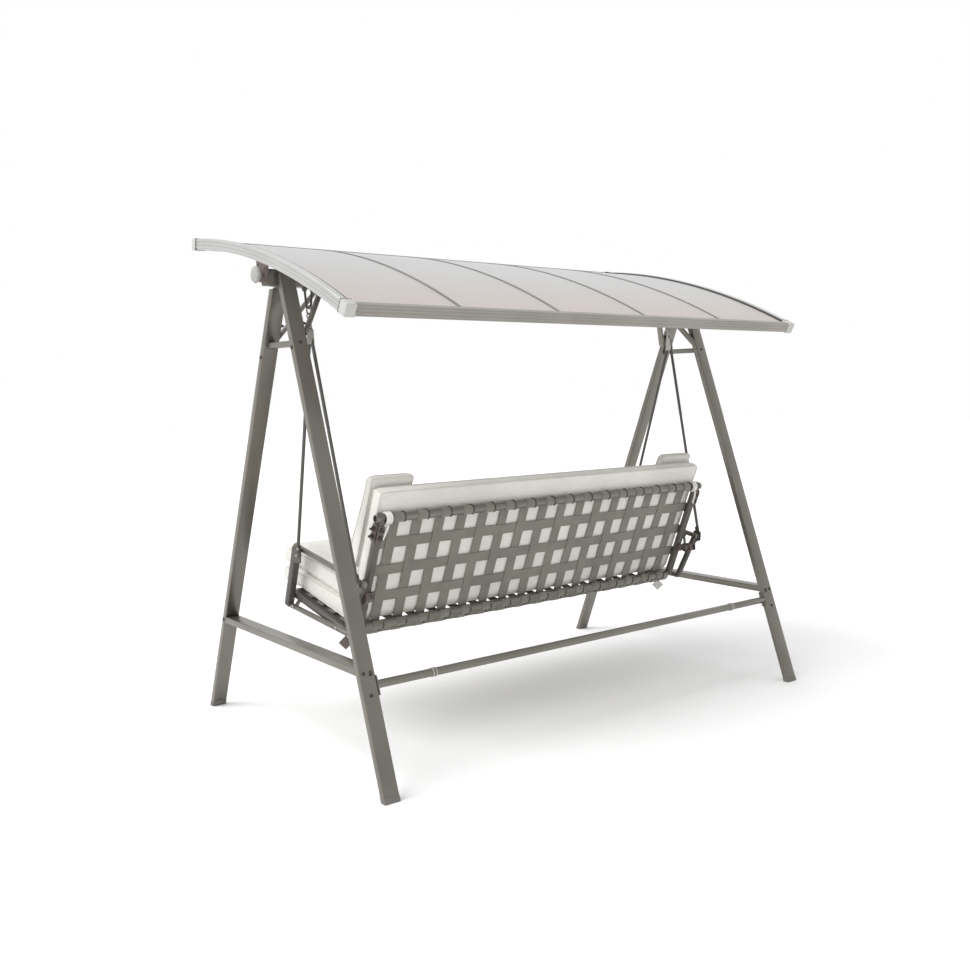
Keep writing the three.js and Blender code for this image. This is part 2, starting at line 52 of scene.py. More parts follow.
LOG = logging.getLogger("swing")
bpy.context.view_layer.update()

Point = tuple[float, float, float]
Flat = tuple[float, float]


class Side(Enum):
    """The sitter's two sides."""

    LEFT = 1
    RIGHT = -1

    @property
    def tag(self) -> str:
        """The side's name in piece names."""
        return self.name.lower()

    def at(self, x: float, y: float, z: float) -> Vector:
        """A point given for the left side, moved to this side."""
        return Vector((self.value * x, y, z))


class Body(Enum):
    """The rigid bodies that pieces ride on."""

    STAND = "stand"
    CANOPY = "canopy"
    SEAT = "seat"
    BACK = "back"
    KNOB_LEFT = "knob_left"
    KNOB_RIGHT = "knob_right"


class Slot(Enum):
    """The record's material slots."""

    FRAME = "frame_paint"
    HANGER = "hanger_paint"
    BRACKET = "bracket_paint"
    FOOT = "foot_plastic"
    RAIL = "rail_aluminium"
    RIB = "rib_aluminium"
    CORNER = "corner_plastic"
    KNOB = "knob_plastic"
    PANEL = "canopy_polycarbonate"
    STRAP = "strap_webbing"
    CUSHION = "cushion_fabric"
    PILLOW = "pillow_fabric"


# ---------------------------------------------------------------------------
# Materials
# ---------------------------------------------------------------------------
class Graph:
    """A material's node tree, with short calls to add and join nodes."""

    def __init__(self, name: str) -> None:
        """Makes an empty material with a Principled shader on its output.

        Args:
            name: the material's name.
        """
        self.material = bpy.data.materials.new(name)
        self.material.use_nodes = True
        self.tree = self.material.node_tree
        self.shader = self.tree.nodes["Principled BSDF"]
        self.output = self.tree.nodes["Material Output"]

    def add(self, kind: str, inputs: dict[str, object] | None = None, **settings: object) -> bpy.types.Node:
        """Adds a node.

        Args:
            kind: the node's type, without the "ShaderNode" prefix.
            inputs: socket values by name.
            settings: the node's own properties.

        Returns:
            The new node.
        """
        node = self.tree.nodes.new("ShaderNode" + kind)
        for key, value in settings.items():
            setattr(node, key, value)
        for key, value in (inputs or {}).items():
            node.inputs[key].default_value = value
        return node

    def join(self, output: bpy.types.NodeSocket, target: bpy.types.NodeSocket) -> None:
        """Links an output to an input."""
        self.tree.links.new(output, target)

    def coords(self, scale: Point = (1, 1, 1), turn: Point = (0, 0, 0), uv: bool = False) -> bpy.types.NodeSocket:
        """Object or UV coordinates, scaled and turned.

        Args:
            scale: the factor along each axis.
            turn: the rotation, in radians.
            uv: True for the piece's own UV map.

        Returns:
            The vector output.
        """
        source = self.add("TexCoord")
        mapping = self.add("Mapping", {"Scale": scale, "Rotation": turn})
        self.join(source.outputs["UV" if uv else "Object"], mapping.inputs["Vector"])
        return mapping.outputs["Vector"]

    def noise(self, vector: bpy.types.NodeSocket, scale: float, detail: float = 3.0) -> bpy.types.NodeSocket:
        """A noise texture's value."""
        node = self.add("TexNoise", {"Scale": scale, "Detail": detail})
        self.join(vector, node.inputs["Vector"])
        return node.outputs["Fac"]

    def ramp(self, value: bpy.types.NodeSocket, low: Point, high: Point, start: float,
             end: float) -> bpy.types.NodeSocket:
        """A colour ramp between two colours.

        Args:
            value: what drives the ramp.
            low: the colour at start.
            high: the colour at end.
            start: the ramp's first stop.
            end: the ramp's last stop.

        Returns:
            The colour output.
        """
        node = self.add("ValToRGB")
        first, last = node.color_ramp.elements
        first.position, last.position = start, end
        first.color, last.color = (*low, 1), (*high, 1)
        self.join(value, node.inputs["Fac"])
        return node.outputs["Color"]

    def tint(self, colour: bpy.types.NodeSocket, mask: bpy.types.NodeSocket) -> None:
        """Multiplies a colour by a mask, into the base colour."""
        mix = self.add("Mix", data_type="RGBA", blend_type="MULTIPLY")
        mix.inputs["Factor"].default_value = 1.0
        self.join(colour, mix.inputs["A"])
        self.join(mask, mix.inputs["B"])
        self.join(mix.outputs["Result"], self.shader.inputs["Base Color"])

    def fix(self, values: dict[str, float]) -> None:
        """Sets shader sockets that are the same all over the surface."""
        for key, value in values.items():
            self.shader.inputs[key].default_value = value

    def spread(self, value: bpy.types.NodeSocket, low: float, high: float) -> bpy.types.NodeSocket:
        """Maps 0..1 to low..high."""
        node = self.add("MapRange", {"To Min": low, "To Max": high})
        self.join(value, node.inputs["Value"])
        return node.outputs["Result"]

    def bump(self, heights: Sequence[tuple[bpy.types.NodeSocket, float, float]]) -> None:
        """Stacks bump layers on the shader.

        Args:
            heights: (height, strength, distance in metres) for each layer.
        """
        previous = None
        for height, strength, distance in heights:
            node = self.add("Bump", {"Strength": strength, "Distance": distance})
            self.join(height, node.inputs["Height"])
            if previous is not None:
                self.join(previous, node.inputs["Normal"])
            previous = node.outputs["Normal"]
        if previous is not None:
            self.join(previous, self.shader.inputs["Normal"])


def shade(colour: Point, factor: float) -> Point:
    """A colour made lighter or darker."""
    return tuple(min(1.0, c * factor) for c in colour)


@dataclass(frozen=True)
class PowderCoat:
    """Satin powder coat on steel or aluminium, with a fine orange-peel skin and slight handling marks."""

    name: str
    colour: Point
    roughness: float = 0.42
    metallic: float = 0.35
    peel: float = 0.12

    def build(self) -> bpy.types.Material:
        """Makes the material."""
        graph = Graph(self.name)
        plain = graph.coords()
        cloud = graph.noise(plain, 3.5)
        graph.join(graph.ramp(cloud, shade(self.colour, 0.9), shade(self.colour, 1.1), 0.3, 0.7),
                   graph.shader.inputs["Base Color"])
        smear = graph.noise(graph.coords((3, 3, 14)), 2.0, 5)
        graph.join(graph.spread(smear, self.roughness - 0.07, self.roughness + 0.09),
                   graph.shader.inputs["Roughness"])
        graph.fix({"Metallic": self.metallic, "Coat Weight": 0.15, "Coat Roughness": 0.3})
        graph.bump([(graph.noise(plain, 900.0), self.peel, 0.0004)])
        return graph.material


@dataclass(frozen=True)
class MouldedPlastic:
    """Moulded plastic with a fine spark-eroded grain."""

    name: str
    colour: Point
    roughness: float = 0.55

    def build(self) -> bpy.types.Material:
        """Makes the material."""
        graph = Graph(self.name)
        plain = graph.coords()
        cloud = graph.noise(plain, 18.0)
        graph.join(graph.ramp(cloud, shade(self.colour, 0.93), shade(self.colour, 1.06), 0.3, 0.7),
                   graph.shader.inputs["Base Color"])
        graph.join(graph.spread(graph.noise(plain, 60.0), self.roughness - 0.08, self.roughness + 0.08),
                   graph.shader.inputs["Roughness"])
        graph.bump([(graph.noise(plain, 1400.0), 0.2, 0.0003)])
        return graph.material


@dataclass(frozen=True)
class Polycarbonate:
    """Translucent twin-wall sheet: flutes along the arch, a soft, milky body and a warm painted reflection towards the
    rear.
    """

    name: str
    colour: Point
    warm: Point
    flute_pitch: float = 0.0065
    low_y: float = 0.15
    high_y: float = 0.5

    def build(self) -> bpy.types.Material:
        """Makes the material."""
        graph = Graph(self.name)
        plain = graph.coords()
        split = graph.add("SeparateXYZ")
        graph.join(plain, split.inputs["Vector"])
        # The sheet's grey shifts to a warm tint from the front towards the rear: a painted reflection of the
        # surroundings.
        reflection_blend = graph.add("MapRange", {"From Min": self.low_y, "From Max": self.high_y})
        graph.join(split.outputs["Y"], reflection_blend.inputs["Value"])
        wave = graph.add("TexWave", {"Scale": math.pi / (10 * self.flute_pitch)}, bands_direction="X")
        graph.join(plain, wave.inputs["Vector"])
        body = graph.ramp(reflection_blend.outputs["Result"], self.colour, self.warm, 0.0, 1.0)
        graph.tint(body, graph.ramp(wave.outputs["Fac"], (0.96, 0.96, 0.96), (1, 1, 1), 0.0, 0.6))
        graph.join(graph.spread(graph.noise(plain, 2.5), 0.34, 0.44), graph.shader.inputs["Roughness"])
        graph.fix({"Transmission Weight": 0.2, "IOR": 1.3})
        graph.bump([(wave.outputs["Fac"], 0.06, 0.0003)])
        return graph.material


@dataclass(frozen=True)
class Webbing:
    """Woven polyester strap: ribs across the strap and cords along it, on the strap's own UV map. A dark copy of it
    stands for painted shade.
    """

    name: str
    colour: Point
    rib: float = 0.0022

    def build(self) -> bpy.types.Material:
        """Makes the material. U runs across the strap from 0 to 1, and V along it in metres."""
        graph = Graph(self.name)
        uv = graph.coords(uv=True)
        split = graph.add("SeparateXYZ")
        graph.join(uv, split.inputs["Vector"])
        ribs = graph.add("TexWave", {"Scale": math.pi / (10 * self.rib)}, bands_direction="Y")
        graph.join(uv, ribs.inputs["Vector"])
        cords = graph.add("TexWave", {"Scale": 2.6}, bands_direction="X")
        graph.join(uv, cords.inputs["Vector"])
        weave = graph.add("Math", operation="MULTIPLY")
        graph.join(ribs.outputs["Fac"], weave.inputs[0])
        graph.join(cords.outputs["Fac"], weave.inputs[1])
        cloud = graph.noise(graph.coords(), 9.0)
        colour = graph.ramp(cloud, shade(self.colour, 0.88), shade(self.colour, 1.12), 0.3, 0.7)
        graph.tint(colour, graph.ramp(weave.outputs["Value"], (0.78, 0.78, 0.78), (1, 1, 1), 0.0, 0.5))
        graph.fix({"Roughness": 0.8, "Sheen Weight": 0.25, "Sheen Roughness": 0.5})
        graph.bump([(weave.outputs["Value"], 0.5, 0.0006)])
        return graph.material


@dataclass(frozen=True)
class Canvas:
    """Woven outdoor canvas: crossed yarns, slubs and a soft sheen."""

    name: str
    colour: Point
    yarn: float = 0.0016

    def build(self) -> bpy.types.Material:
        """Makes the material."""
        graph = Graph(self.name)
        plain = graph.coords()
        yarn_scale = math.pi / (10 * self.yarn)
        layers = []
        for direction, distortion in (("X", 1.2), ("DIAGONAL", 1.0), ("Z", 1.2)):
            wave = graph.add("TexWave", {"Scale": yarn_scale, "Distortion": distortion, "Detail": 1.0},
                             bands_direction=direction)
            graph.join(plain, wave.inputs["Vector"])
            layers.append((wave.outputs["Fac"], 0.16, 0.0006))
        cloud = graph.noise(plain, 5.0, 4)
        slub = graph.noise(graph.coords((30, 160, 160)), 1.0, 3)
        colour = graph.ramp(cloud, shade(self.colour, 0.93), shade(self.colour, 1.06), 0.3, 0.7)
        graph.tint(colour, graph.ramp(slub, (0.95, 0.95, 0.95), (1, 1, 1), 0.35, 0.6))
        graph.fix({"Roughness": 0.9, "Sheen Weight": 0.35, "Sheen Roughness": 0.6})
        wrinkle = graph.noise(plain, 14.0, 5)
        graph.bump(layers + [(wrinkle, 0.25, 0.004)])
        return graph.material


@dataclass(frozen=True)
class Zinc:
    """Zinc-plated fasteners."""

    name: str
    colour: Point = (0.42, 0.4, 0.37)

    def build(self) -> bpy.types.Material:
        """Makes the material."""
        graph = Graph(self.name)
        plain = graph.coords()
        graph.join(graph.ramp(graph.noise(plain, 120.0), shade(self.colour, 0.8), shade(self.colour, 1.15), 0.3, 0.7),
                   graph.shader.inputs["Base Color"])
        graph.join(graph.spread(graph.noise(plain, 300.0), 0.25, 0.45), graph.shader.inputs["Roughness"])
        graph.fix({"Metallic": 0.9})
        graph.bump([(graph.noise(plain, 700.0), 0.1, 0.0002)])
        return graph.material


class Finish(Enum):
    """Every finish on the swing."""

    FRAME = PowderCoat("frame_powder_coat", (0.19, 0.178, 0.156), 0.33, 0.7)
    HANGER = PowderCoat("hanger_powder_coat", (0.1, 0.095, 0.085), 0.45, 0.4)
    SIDE_TUBE = PowderCoat("side_tube_powder_coat", (0.115, 0.103, 0.09), 0.5, 0.3)
    BRACKET = PowderCoat("bracket_powder_coat", (0.13, 0.098, 0.086), 0.5, 0.2)
    FOOT = MouldedPlastic("foot_plastic", (0.1, 0.098, 0.085))
    RAIL = PowderCoat("canopy_rail_satin", (0.52, 0.52, 0.51), 0.34, 0.6)
    CROSS_RAIL = PowderCoat("cross_rail_satin", (0.27, 0.255, 0.23), 0.36, 0.5)
    RIB = PowderCoat("canopy_rib_satin", (0.2, 0.195, 0.185), 0.45, 0.3)
    CORNER = MouldedPlastic("corner_plastic", (0.33, 0.33, 0.32))
    # Dark rubber for the corner caps' seams, and also for the painted shadow strips along the side rails' inner edges.
    SEAM_AND_SHADE = MouldedPlastic("gasket_rubber", (0.04, 0.038, 0.035), 0.7)
    COLLAR = PowderCoat("collar_satin", (0.38, 0.37, 0.345), 0.35, 0.6)
    KNOB = MouldedPlastic("knob_plastic", (0.34, 0.34, 0.325), 0.45)
    # The second colour is a painted warm reflection on the rear part of the sheets.
    PANEL = Polycarbonate("canopy_sheet", (0.56, 0.56, 0.555), (0.58, 0.52, 0.49))
    STRAP = Webbing("strap_weave", (0.215, 0.207, 0.171))
    # A dark copy of the webbing, used only as painted shade: rings at the strap wraps and bands along the seat's sides.
    STRAP_SHADE = Webbing("strap_painted_shade_weave", (0.06, 0.055, 0.045))
    CUSHION = Canvas("cushion_canvas", (0.72, 0.702, 0.655))
    PIPING = Canvas("piping_canvas", (0.6, 0.58, 0.53), 0.0011)
    PILLOW = Canvas("pillow_canvas", (0.66, 0.643, 0.603))
    TIE = Canvas("tie_tape", (0.74, 0.73, 0.69), 0.001)
    ZINC = Zinc("zinc_plate")
    BOLT = Zinc("blackened_bolt", (0.09, 0.078, 0.068))

    @property
    def material(self) -> bpy.types.Material:
        """The finish's material, made the first time it is asked for."""
        return bpy.data.materials.get(self.value.name) or self.value.build()


# ---------------------------------------------------------------------------
# Mesh helpers
# ---------------------------------------------------------------------------
def finish_piece(
    name: str,
    bm: bmesh.types.BMesh,
    finish: Finish,
    body: Body,
    slot: Slot,
    stands_for: Iterable[str] = (),
    crease: float = 35.0,
) -> bpy.types.Object:
    """Turns a bmesh into a finished piece that rides on its body.

    Args:
        name: the piece's name.
        bm: its shape, which is used up.
        finish: its finish.
        body: the body that it rides on.
        slot: not used.
        stands_for: the CAD nodes that it replaces.
        crease: edges sharper than this, in degrees, stay sharp.

    Returns:
        The object.
    """
    bmesh.ops.remove_doubles(bm, verts=bm.verts, dist=1e-6)
    bmesh.ops.recalc_face_normals(bm, faces=bm.faces)
    limit = math.radians(crease)
    for edge in bm.edges:
        edge.smooth = len(edge.link_faces) == 2 and edge.calc_face_angle(0.0) < limit
    for face in bm.faces:
        face.smooth = True
    mesh = bpy.data.meshes.new(name)
    bm.to_mesh(mesh)
    bm.free()
    piece = bpy.data.objects.new(name, mesh)
    bpy.context.scene.collection.objects.link(piece)
    mesh.materials.append(finish.material)
    settle(piece, body, slot, stands_for)
    return piece


def settle(piece: bpy.types.Object, body: Body, slot: Slot, stands_for: Iterable[str] = ()) -> None:
    """Fastens a piece to its body and hides the CAD nodes that it stands for."""
    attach(piece, body.value)
    nodes = list(stands_for)
    if nodes:
        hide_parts(*nodes)
    LOG.info("%s: %d faces on %s", piece.name, len(piece.data.polygons), body.value)


def facing(start: Vector, end: Vector, across: Vector) -> Matrix:
    """A frame at start whose Z runs to end and whose X lies nearest to across."""
    along = (end - start).normalized()
    side = (across - across.dot(along) * along).normalized()
    third = along.cross(side)
    turn = Matrix((side, third, along)).transposed().to_4x4()
    return Matrix.Translation(start) @ turn


def add_bar(
    bm: bmesh.types.BMesh,
    start: Vector,
    end: Vector,
    width: float,
    depth: float,
    across: Vector = Vector((1, 0, 0)),
    corner: float = 0.003,
    cuts: Sequence[tuple[Vector, Vector]] = (),
    segments: int = 3,
) -> None:
    """Adds a straight bar with rounded long edges.

    Args:
        bm: the mesh to add to.
        start: the middle of one end.
        end: the middle of the other.
        width: its size along across.
        depth: its size square to that.
        across: the direction of the width.
        corner: the radius of the long edges.
        cuts: planes, each a point and the normal of the side that is cut off.
        segments: faces round each corner.
    """
    made = bmesh.new()
    bmesh.ops.create_cube(made, size=1.0)
    length = (end - start).length
    bmesh.ops.scale(made, vec=(width, depth, length), verts=made.verts)
    bmesh.ops.translate(made, vec=(0, 0, length / 2), verts=made.verts)
    long_edges = [e for e in made.edges if abs((e.verts[0].co - e.verts[1].co).z) > length / 2]
    if corner > 0:
        bmesh.ops.bevel(made, geom=long_edges, offset=corner, segments=segments, profile=0.5,
                        affect="EDGES", material=-1)
    bmesh.ops.transform(made, matrix=facing(start, end, across), verts=made.verts)
    for place, normal in cuts:
        geometry = made.verts[:] + made.edges[:] + made.faces[:]
        bmesh.ops.bisect_plane(made, geom=geometry, plane_co=place, plane_no=normal, clear_outer=True)
        bmesh.ops.holes_fill(made, edges=made.edges[:], sides=0)
    rims = [e for e in made.edges if len(e.link_faces) == 2 and e.calc_face_angle(0.0) > math.radians(50)]
    bmesh.ops.bevel(made, geom=rims, offset=0.0006, segments=1, profile=0.5, affect="EDGES", material=-1)
    pour(made, bm)


def add_rod(
    bm: bmesh.types.BMesh,
    start: Vector,
    end: Vector,
    radius: float,
    segments: int = 28,
    rim: float = 0.0008,
) -> None:
    """Adds a round rod.

    Args:
        bm: the mesh to add to.
        start: the middle of one end.
        end: the middle of the other.
        radius: the rod's radius.
        segments: faces round it.
        rim: how far its end rims are rounded.
    """
    made = bmesh.new()
    length = (end - start).length
    bmesh.ops.create_cone(made, cap_ends=True, segments=segments, radius1=radius, radius2=radius, depth=length)
    bmesh.ops.translate(made, vec=(0, 0, length / 2), verts=made.verts)
    if rim > 0:
        rims = [e for e in made.edges if e.calc_face_angle(0.0) > math.radians(60)]
        bmesh.ops.bevel(made, geom=rims, offset=rim, segments=2, profile=0.5, affect="EDGES", material=-1)
    across = Vector((1, 0, 0)) if abs((end - start).normalized().x) < 0.9 else Vector((0, 0, 1))
    bmesh.ops.transform(made, matrix=facing(start, end, across), verts=made.verts)
    pour(made, bm)


def add_sweep(bm: bmesh.types.BMesh, path: Sequence[Vector], radius: float, closed: bool = False,
              segments: int = 12) -> None:
    """Adds a round wire along a smooth path.

    Args:
        bm: the mesh to add to.
        path: its points.
        radius: the wire's radius.
        closed: True if the last point joins the first.
        segments: faces round the wire.
    """
    made = bmesh.new()
    count = len(path)
    across = Vector((1, 0, 0))
    rings = []
    for index, point in enumerate(path):
        before = path[index - 1] if index > 0 or closed else point
        after = path[(index + 1) % count] if index < count - 1 or closed else point
        along = (after - before).normalized()
        if abs(along.dot(across)) > 0.95:
            across = Vector((0, 1, 0)) if abs(along.y) < 0.9 else Vector((0, 0, 1))
        matrix = facing(point, point + along, across)
        across = matrix.to_3x3() @ Vector((1, 0, 0))
        ring = bmesh.ops.create_circle(made, segments=segments, radius=radius)["verts"]
        bmesh.ops.transform(made, matrix=matrix, verts=ring)
        rings.append(ring)
    pairs = list(zip(rings, rings[1:] + rings[:1])) if closed else list(zip(rings, rings[1:]))
    for low, high in pairs:
        edges = {e for v in low + high for e in v.link_edges if all(w in low or w in high for w in e.verts)}
        loops = [e for e in edges if (e.verts[0] in low) == (e.verts[1] in low)]
        bmesh.ops.bridge_loops(made, edges=loops)
    if not closed:
        bmesh.ops.holes_fill(made, edges=made.edges[:], sides=0)
    pour(made, bm)


def add_lathe(bm: bmesh.types.BMesh, profile: Sequence[Flat], place: Matrix, steps: int = 40) -> None:
    """Adds a turned shape.

    Args:
        bm: the mesh to add to.
        profile: (radius, height) points, starting and ending on the axis.
        place: where the axis goes, with Z along it.
        steps: faces round the axis.
    """
    made = bmesh.new()
    verts = [made.verts.new((radius, 0, height)) for radius, height in profile]
    edges = [made.edges.new(pair) for pair in zip(verts, verts[1:])]
    bmesh.ops.spin(made, geom=verts + edges, cent=(0, 0, 0), axis=(0, 0, 1), angle=math.tau, steps=steps,
                   use_merge=True)
    bmesh.ops.remove_doubles(made, verts=made.verts, dist=1e-6)
    bmesh.ops.transform(made, matrix=place, verts=made.verts)
    pour(made, bm)


def thicken(bm: bmesh.types.BMesh, face: bmesh.types.BMFace, shift: Vector) -> None:
    """Draws a face out into a solid."""
    grown = bmesh.ops.extrude_face_region(bm, geom=[face])["geom"]
    moved = [item for item in grown if isinstance(item, bmesh.types.BMVert)]
    bmesh.ops.translate(bm, vec=shift, verts=moved)


def add_plate(bm: bmesh.types.BMesh, outline: Sequence[Vector], thickness: Vector, corner: float = 0.004) -> None:
    """Adds a flat plate with rounded corners.

    Args:
        bm: the mesh to add to.
        outline: the corners of one face.
        thickness: the way to the other face.
        corner: the radius of the outline's corners.
    """
    made = bmesh.new()
    face = made.faces.new([made.verts.new(point) for point in outline])
    thicken(made, face, thickness)
    way = thickness.normalized()
    short = [e for e in made.edges if abs((e.verts[1].co - e.verts[0].co).normalized().dot(way)) > 0.99]
    bmesh.ops.bevel(made, geom=short, offset=corner, segments=4, profile=0.5, affect="EDGES", material=-1)
    bmesh.ops.recalc_face_normals(made, faces=made.faces)
    pour(made, bm)


def pour(source: bmesh.types.BMesh, target: bmesh.types.BMesh) -> None:
    """Adds one mesh to another, and frees the first."""
    bmesh.ops.recalc_face_normals(source, faces=source.faces)
    carrier = bpy.data.meshes.new("carrier")
    source.to_mesh(carrier)
    source.free()
    target.from_mesh(carrier)
    bpy.data.meshes.remove(carrier)


def add_bolt(bm: bmesh.types.BMesh, place: Vector, way: Vector, radius: float = 0.0065,
             height: float = 0.0045) -> None:
    """Adds a domed bolt head on its washer, standing out of a face along way."""
    across = Vector((0, 0, 1)) if abs(way.z) < 0.9 else Vector((1, 0, 0))
    profile = [
        (0.0, -0.001),
        (radius * 1.35, -0.001),
        (radius * 1.35, height * 0.22),
        (radius, height * 0.26),
        (radius, height * 0.55),
        (radius * 0.72, height * 0.92),
        (radius * 0.42, height),
        (radius * 0.36, height * 0.6),
        (0.0, height * 0.6),
    ]
    add_lathe(bm, profile, facing(place, place + way, across), 16)


# ---------------------------------------------------------------------------
# Stand
# ---------------------------------------------------------------------------
@dataclass
class Stand:
    """The two A-frames, the beam, the stretcher and their braces and fasteners."""

    outer: float = 1.0
    leg_width: float = 0.055
    leg_depth: float = 0.023
    foot: float = 0.636
    rear_slope: float = 0.357
    front_slope: float = 0.405
    cap_height: float = 0.018
    beam_y: float = 0.030
    beam_depth: float = 0.040
    beam_low: float = 1.556
    beam_high: float = 1.610
    beam_half: float = 1.035
    side_bar: Flat = (0.367, 0.024)
    upper_bar: Flat = (1.368, 0.020)
    brace_foot_z: float = 1.410
    brace_top_x: float = 0.835
    stretcher_z: float = 0.325
    stretcher_radius: float = 0.013
    stretcher_joint: float = 0.722
    hook_x: float = 0.880
    hook_y: float = 0.038
    hook_z: float = 1.490
    up: Vector = field(default_factory=lambda: Vector((0, 0, 1)))

    @property
    def inner(self) -> float:
        """Inner face of the legs."""
        return self.outer - self.leg_width

    @property
    def middle(self) -> float:
        """Middle of the legs along X."""
        return self.outer - self.leg_width / 2

    def rear_axis(self, z: float) -> float:
        """Y of the rear leg's axis at a height."""
        return self.foot - self.rear_slope * z - self.leg_depth / 2 * math.hypot(1, self.rear_slope)

    def front_axis(self, z: float) -> float:
        """Y of the front leg's axis at a height."""
        return -self.foot + self.front_slope * z + self.leg_depth / 2 * math.hypot(1, self.front_slope)

    def leg_face(self, rear: bool, z: float) -> tuple[Vector, Vector]:
        """A point on a leg's inward face in the A-frame's plane, and the way that it faces."""
        slope = self.rear_slope if rear else self.front_slope
        axis = self.rear_axis(z) if rear else self.front_axis(z)
        sign = -1 if rear else 1
        normal = Vector((0, sign, -slope)).normalized()
        return Vector((0, axis, z)) + normal * self.leg_depth / 2, normal

    def build(self) -> None:
        """Builds every piece of the stand."""
        for side in Side:
            self.build_legs(side)
            self.build_crossbars(side)
            self.build_braces(side)
            self.build_hook(side)
            self.build_bolts(side)
        self.build_beam()
        self.build_stretcher()

    def build_legs(self, side: Side) -> None:
        """Builds one side's two legs and their foot caps."""
        for name, axis in (("rear", self.rear_axis), ("front", self.front_axis)):
            rear = name == "rear"
            top = self.beam_high - 0.003 if rear else self.beam_low - 0.006
            start, end = -0.05, top + 0.05
            low = self.cap_height
            cuts = [
                (Vector((0, 0, low)), -self.up),
                (Vector((0, 0, top)), self.up),
            ]
            if rear:
                cuts.append((Vector((0, self.beam_y + self.beam_depth / 2 + 0.0003, 0)), Vector((0, -1, 0))))
            bm = bmesh.new()
            add_bar(bm, side.at(self.middle, axis(start), start), side.at(self.middle, axis(end), end),
                    self.leg_width, self.leg_depth, corner=0.0035, cuts=cuts)
            node = f"{name}_leg_{side.tag}"
            finish_piece(f"{node}_tube", bm, Finish.FRAME, Body.STAND, Slot.FRAME, [node])

            bm = bmesh.new()
            cap_cuts = [(Vector((0, 0, 0)), -self.up), (Vector((0, 0, low)), self.up)]
            add_bar(bm, side.at(self.middle, axis(start), start), side.at(self.middle, axis(0.1), 0.1),
                    self.leg_width + 0.0014, self.leg_depth + 0.0012, corner=0.004, cuts=cap_cuts)
            node = f"foot_cap_{name}_{side.tag}"
            finish_piece(f"{node}_shoe", bm, Finish.FOOT, Body.STAND, Slot.FOOT, [node])

    def build_crossbars(self, side: Side) -> None:
        """Builds one side's long lower bar and short upper bar."""
        bars = (("side_crossbar", self.side_bar, self.leg_width - 0.002), ("upper_crossbar", self.upper_bar, 0.030))
        for name, (z, height), width in bars:
            bm = bmesh.new()
            cuts = []
            for rear in (True, False):
                place, normal = self.leg_face(rear, z)
                cuts.append((place + normal * 0.0003, -normal))
            x = self.middle
            add_bar(bm, side.at(x, self.front_axis(z) - 0.02, z), side.at(x, self.rear_axis(z) + 0.02, z),
                    width, height, corner=0.003, cuts=cuts)
            node = f"{name}_{side.tag}"
            finish_piece(f"{node}_tube", bm, Finish.FRAME, Body.STAND, Slot.FRAME, [node])

    def build_braces(self, side: Side) -> None:
        """Builds one side's two knee braces, from the legs up to the beam."""
        z = self.brace_foot_z
        ends = (("rear", self.rear_axis(z), self.beam_y + 0.015), ("front", self.front_axis(z), self.beam_y - 0.015))
        for name, foot_y, top_y in ends:
            bm = bmesh.new()
            foot = side.at(self.inner - 0.009, foot_y, z)
            top = side.at(self.brace_top_x, top_y, self.beam_low - 0.002)
            beam_cut = (Vector((0, 0, self.beam_low - 0.0005)), self.up)
            leg_cut = (side.at(self.inner - 0.0003, 0, 0), side.at(1, 0, 0))
            run = (top - foot).normalized()
            add_bar(bm, foot - run * 0.02, top + run * 0.02, 0.027, 0.009, across=Vector((0, 1, 0)),
                    corner=0.0025, cuts=[beam_cut, leg_cut])
            node = f"{name}_brace_{side.tag}"
            finish_piece(f"{node}_bar", bm, Finish.FRAME, Body.STAND, Slot.FRAME, [node])

    def build_hook(self, side: Side) -> None:
        """Builds the wire eye that one side of the seat hangs from."""
        x, y, z = self.hook_x, self.hook_y, self.hook_z
        wire, top_half, low_half = 0.004, 0.014, 0.0085
        top = self.beam_low - 0.0005
        bm = bmesh.new()
        bend = [
            side.at(x + low_half * math.cos(a), y, z + 0.003 + 0.003 * math.sin(a))
            for a in [math.radians(d) for d in (-20, -55, -90, -125, -160)]
        ]
        path = [side.at(x + top_half, y, top), side.at(x + low_half, y, z + 0.008)]
        path += bend
        path += [side.at(x - low_half, y, z + 0.008), side.at(x - top_half, y, top)]
        add_sweep(bm, path, wire)
        add_bar(bm, side.at(x - 0.020, y, top - 0.002), side.at(x + 0.020, y, top - 0.002), 0.022, 0.004,
                across=Vector((0, 1, 0)), corner=0.001)
        for sign in (-1, 1):
            add_rod(bm, side.at(x + sign * top_half, y, top - 0.003), side.at(x + sign * top_half, y, top - 0.011),
                    0.0075, 6, 0.0005)
        finish_piece(f"hook_{side.tag}_eye", bm, Finish.HANGER, Body.STAND, Slot.HANGER, [f"hook_{side.tag}"])

    def build_bolts(self, side: Side) -> None:
        """Builds the bolt heads on one side's legs."""
        bm = bmesh.new()
        rear_way = Vector((0, 1, self.rear_slope)).normalized()
        face = self.leg_depth / 2
        bar_z = self.side_bar[0]
        for z, offset in ((bar_z - 0.006, -0.012), (bar_z - 0.006, 0.013), (bar_z - 0.011, -0.012)):
            place = side.at(self.middle + offset, self.rear_axis(z), z) + rear_way * face
            add_bolt(bm, place, rear_way, 0.0045, 0.004)
        for z in (self.stretcher_z - 0.028, self.upper_bar[0]):
            place = side.at(self.middle, self.rear_axis(z), z) + rear_way * face
            add_bolt(bm, place, rear_way, 0.0045, 0.004)
        outward = side.at(1, 0, 0)
        for z, axis in ((1.355, self.rear_axis), (1.330, self.front_axis), (self.side_bar[0], self.front_axis)):
            add_bolt(bm, side.at(self.outer, axis(z), z), outward, 0.0055, 0.004)
        for axis in (self.rear_axis, self.front_axis):
            z = self.brace_foot_z + 0.004
            add_bolt(bm, side.at(self.inner, axis(z + 0.02), z + 0.02), -outward, 0.005, 0.012)
        finish_piece(f"leg_bolts_{side.tag}", bm, Finish.BOLT, Body.STAND, Slot.FRAME)

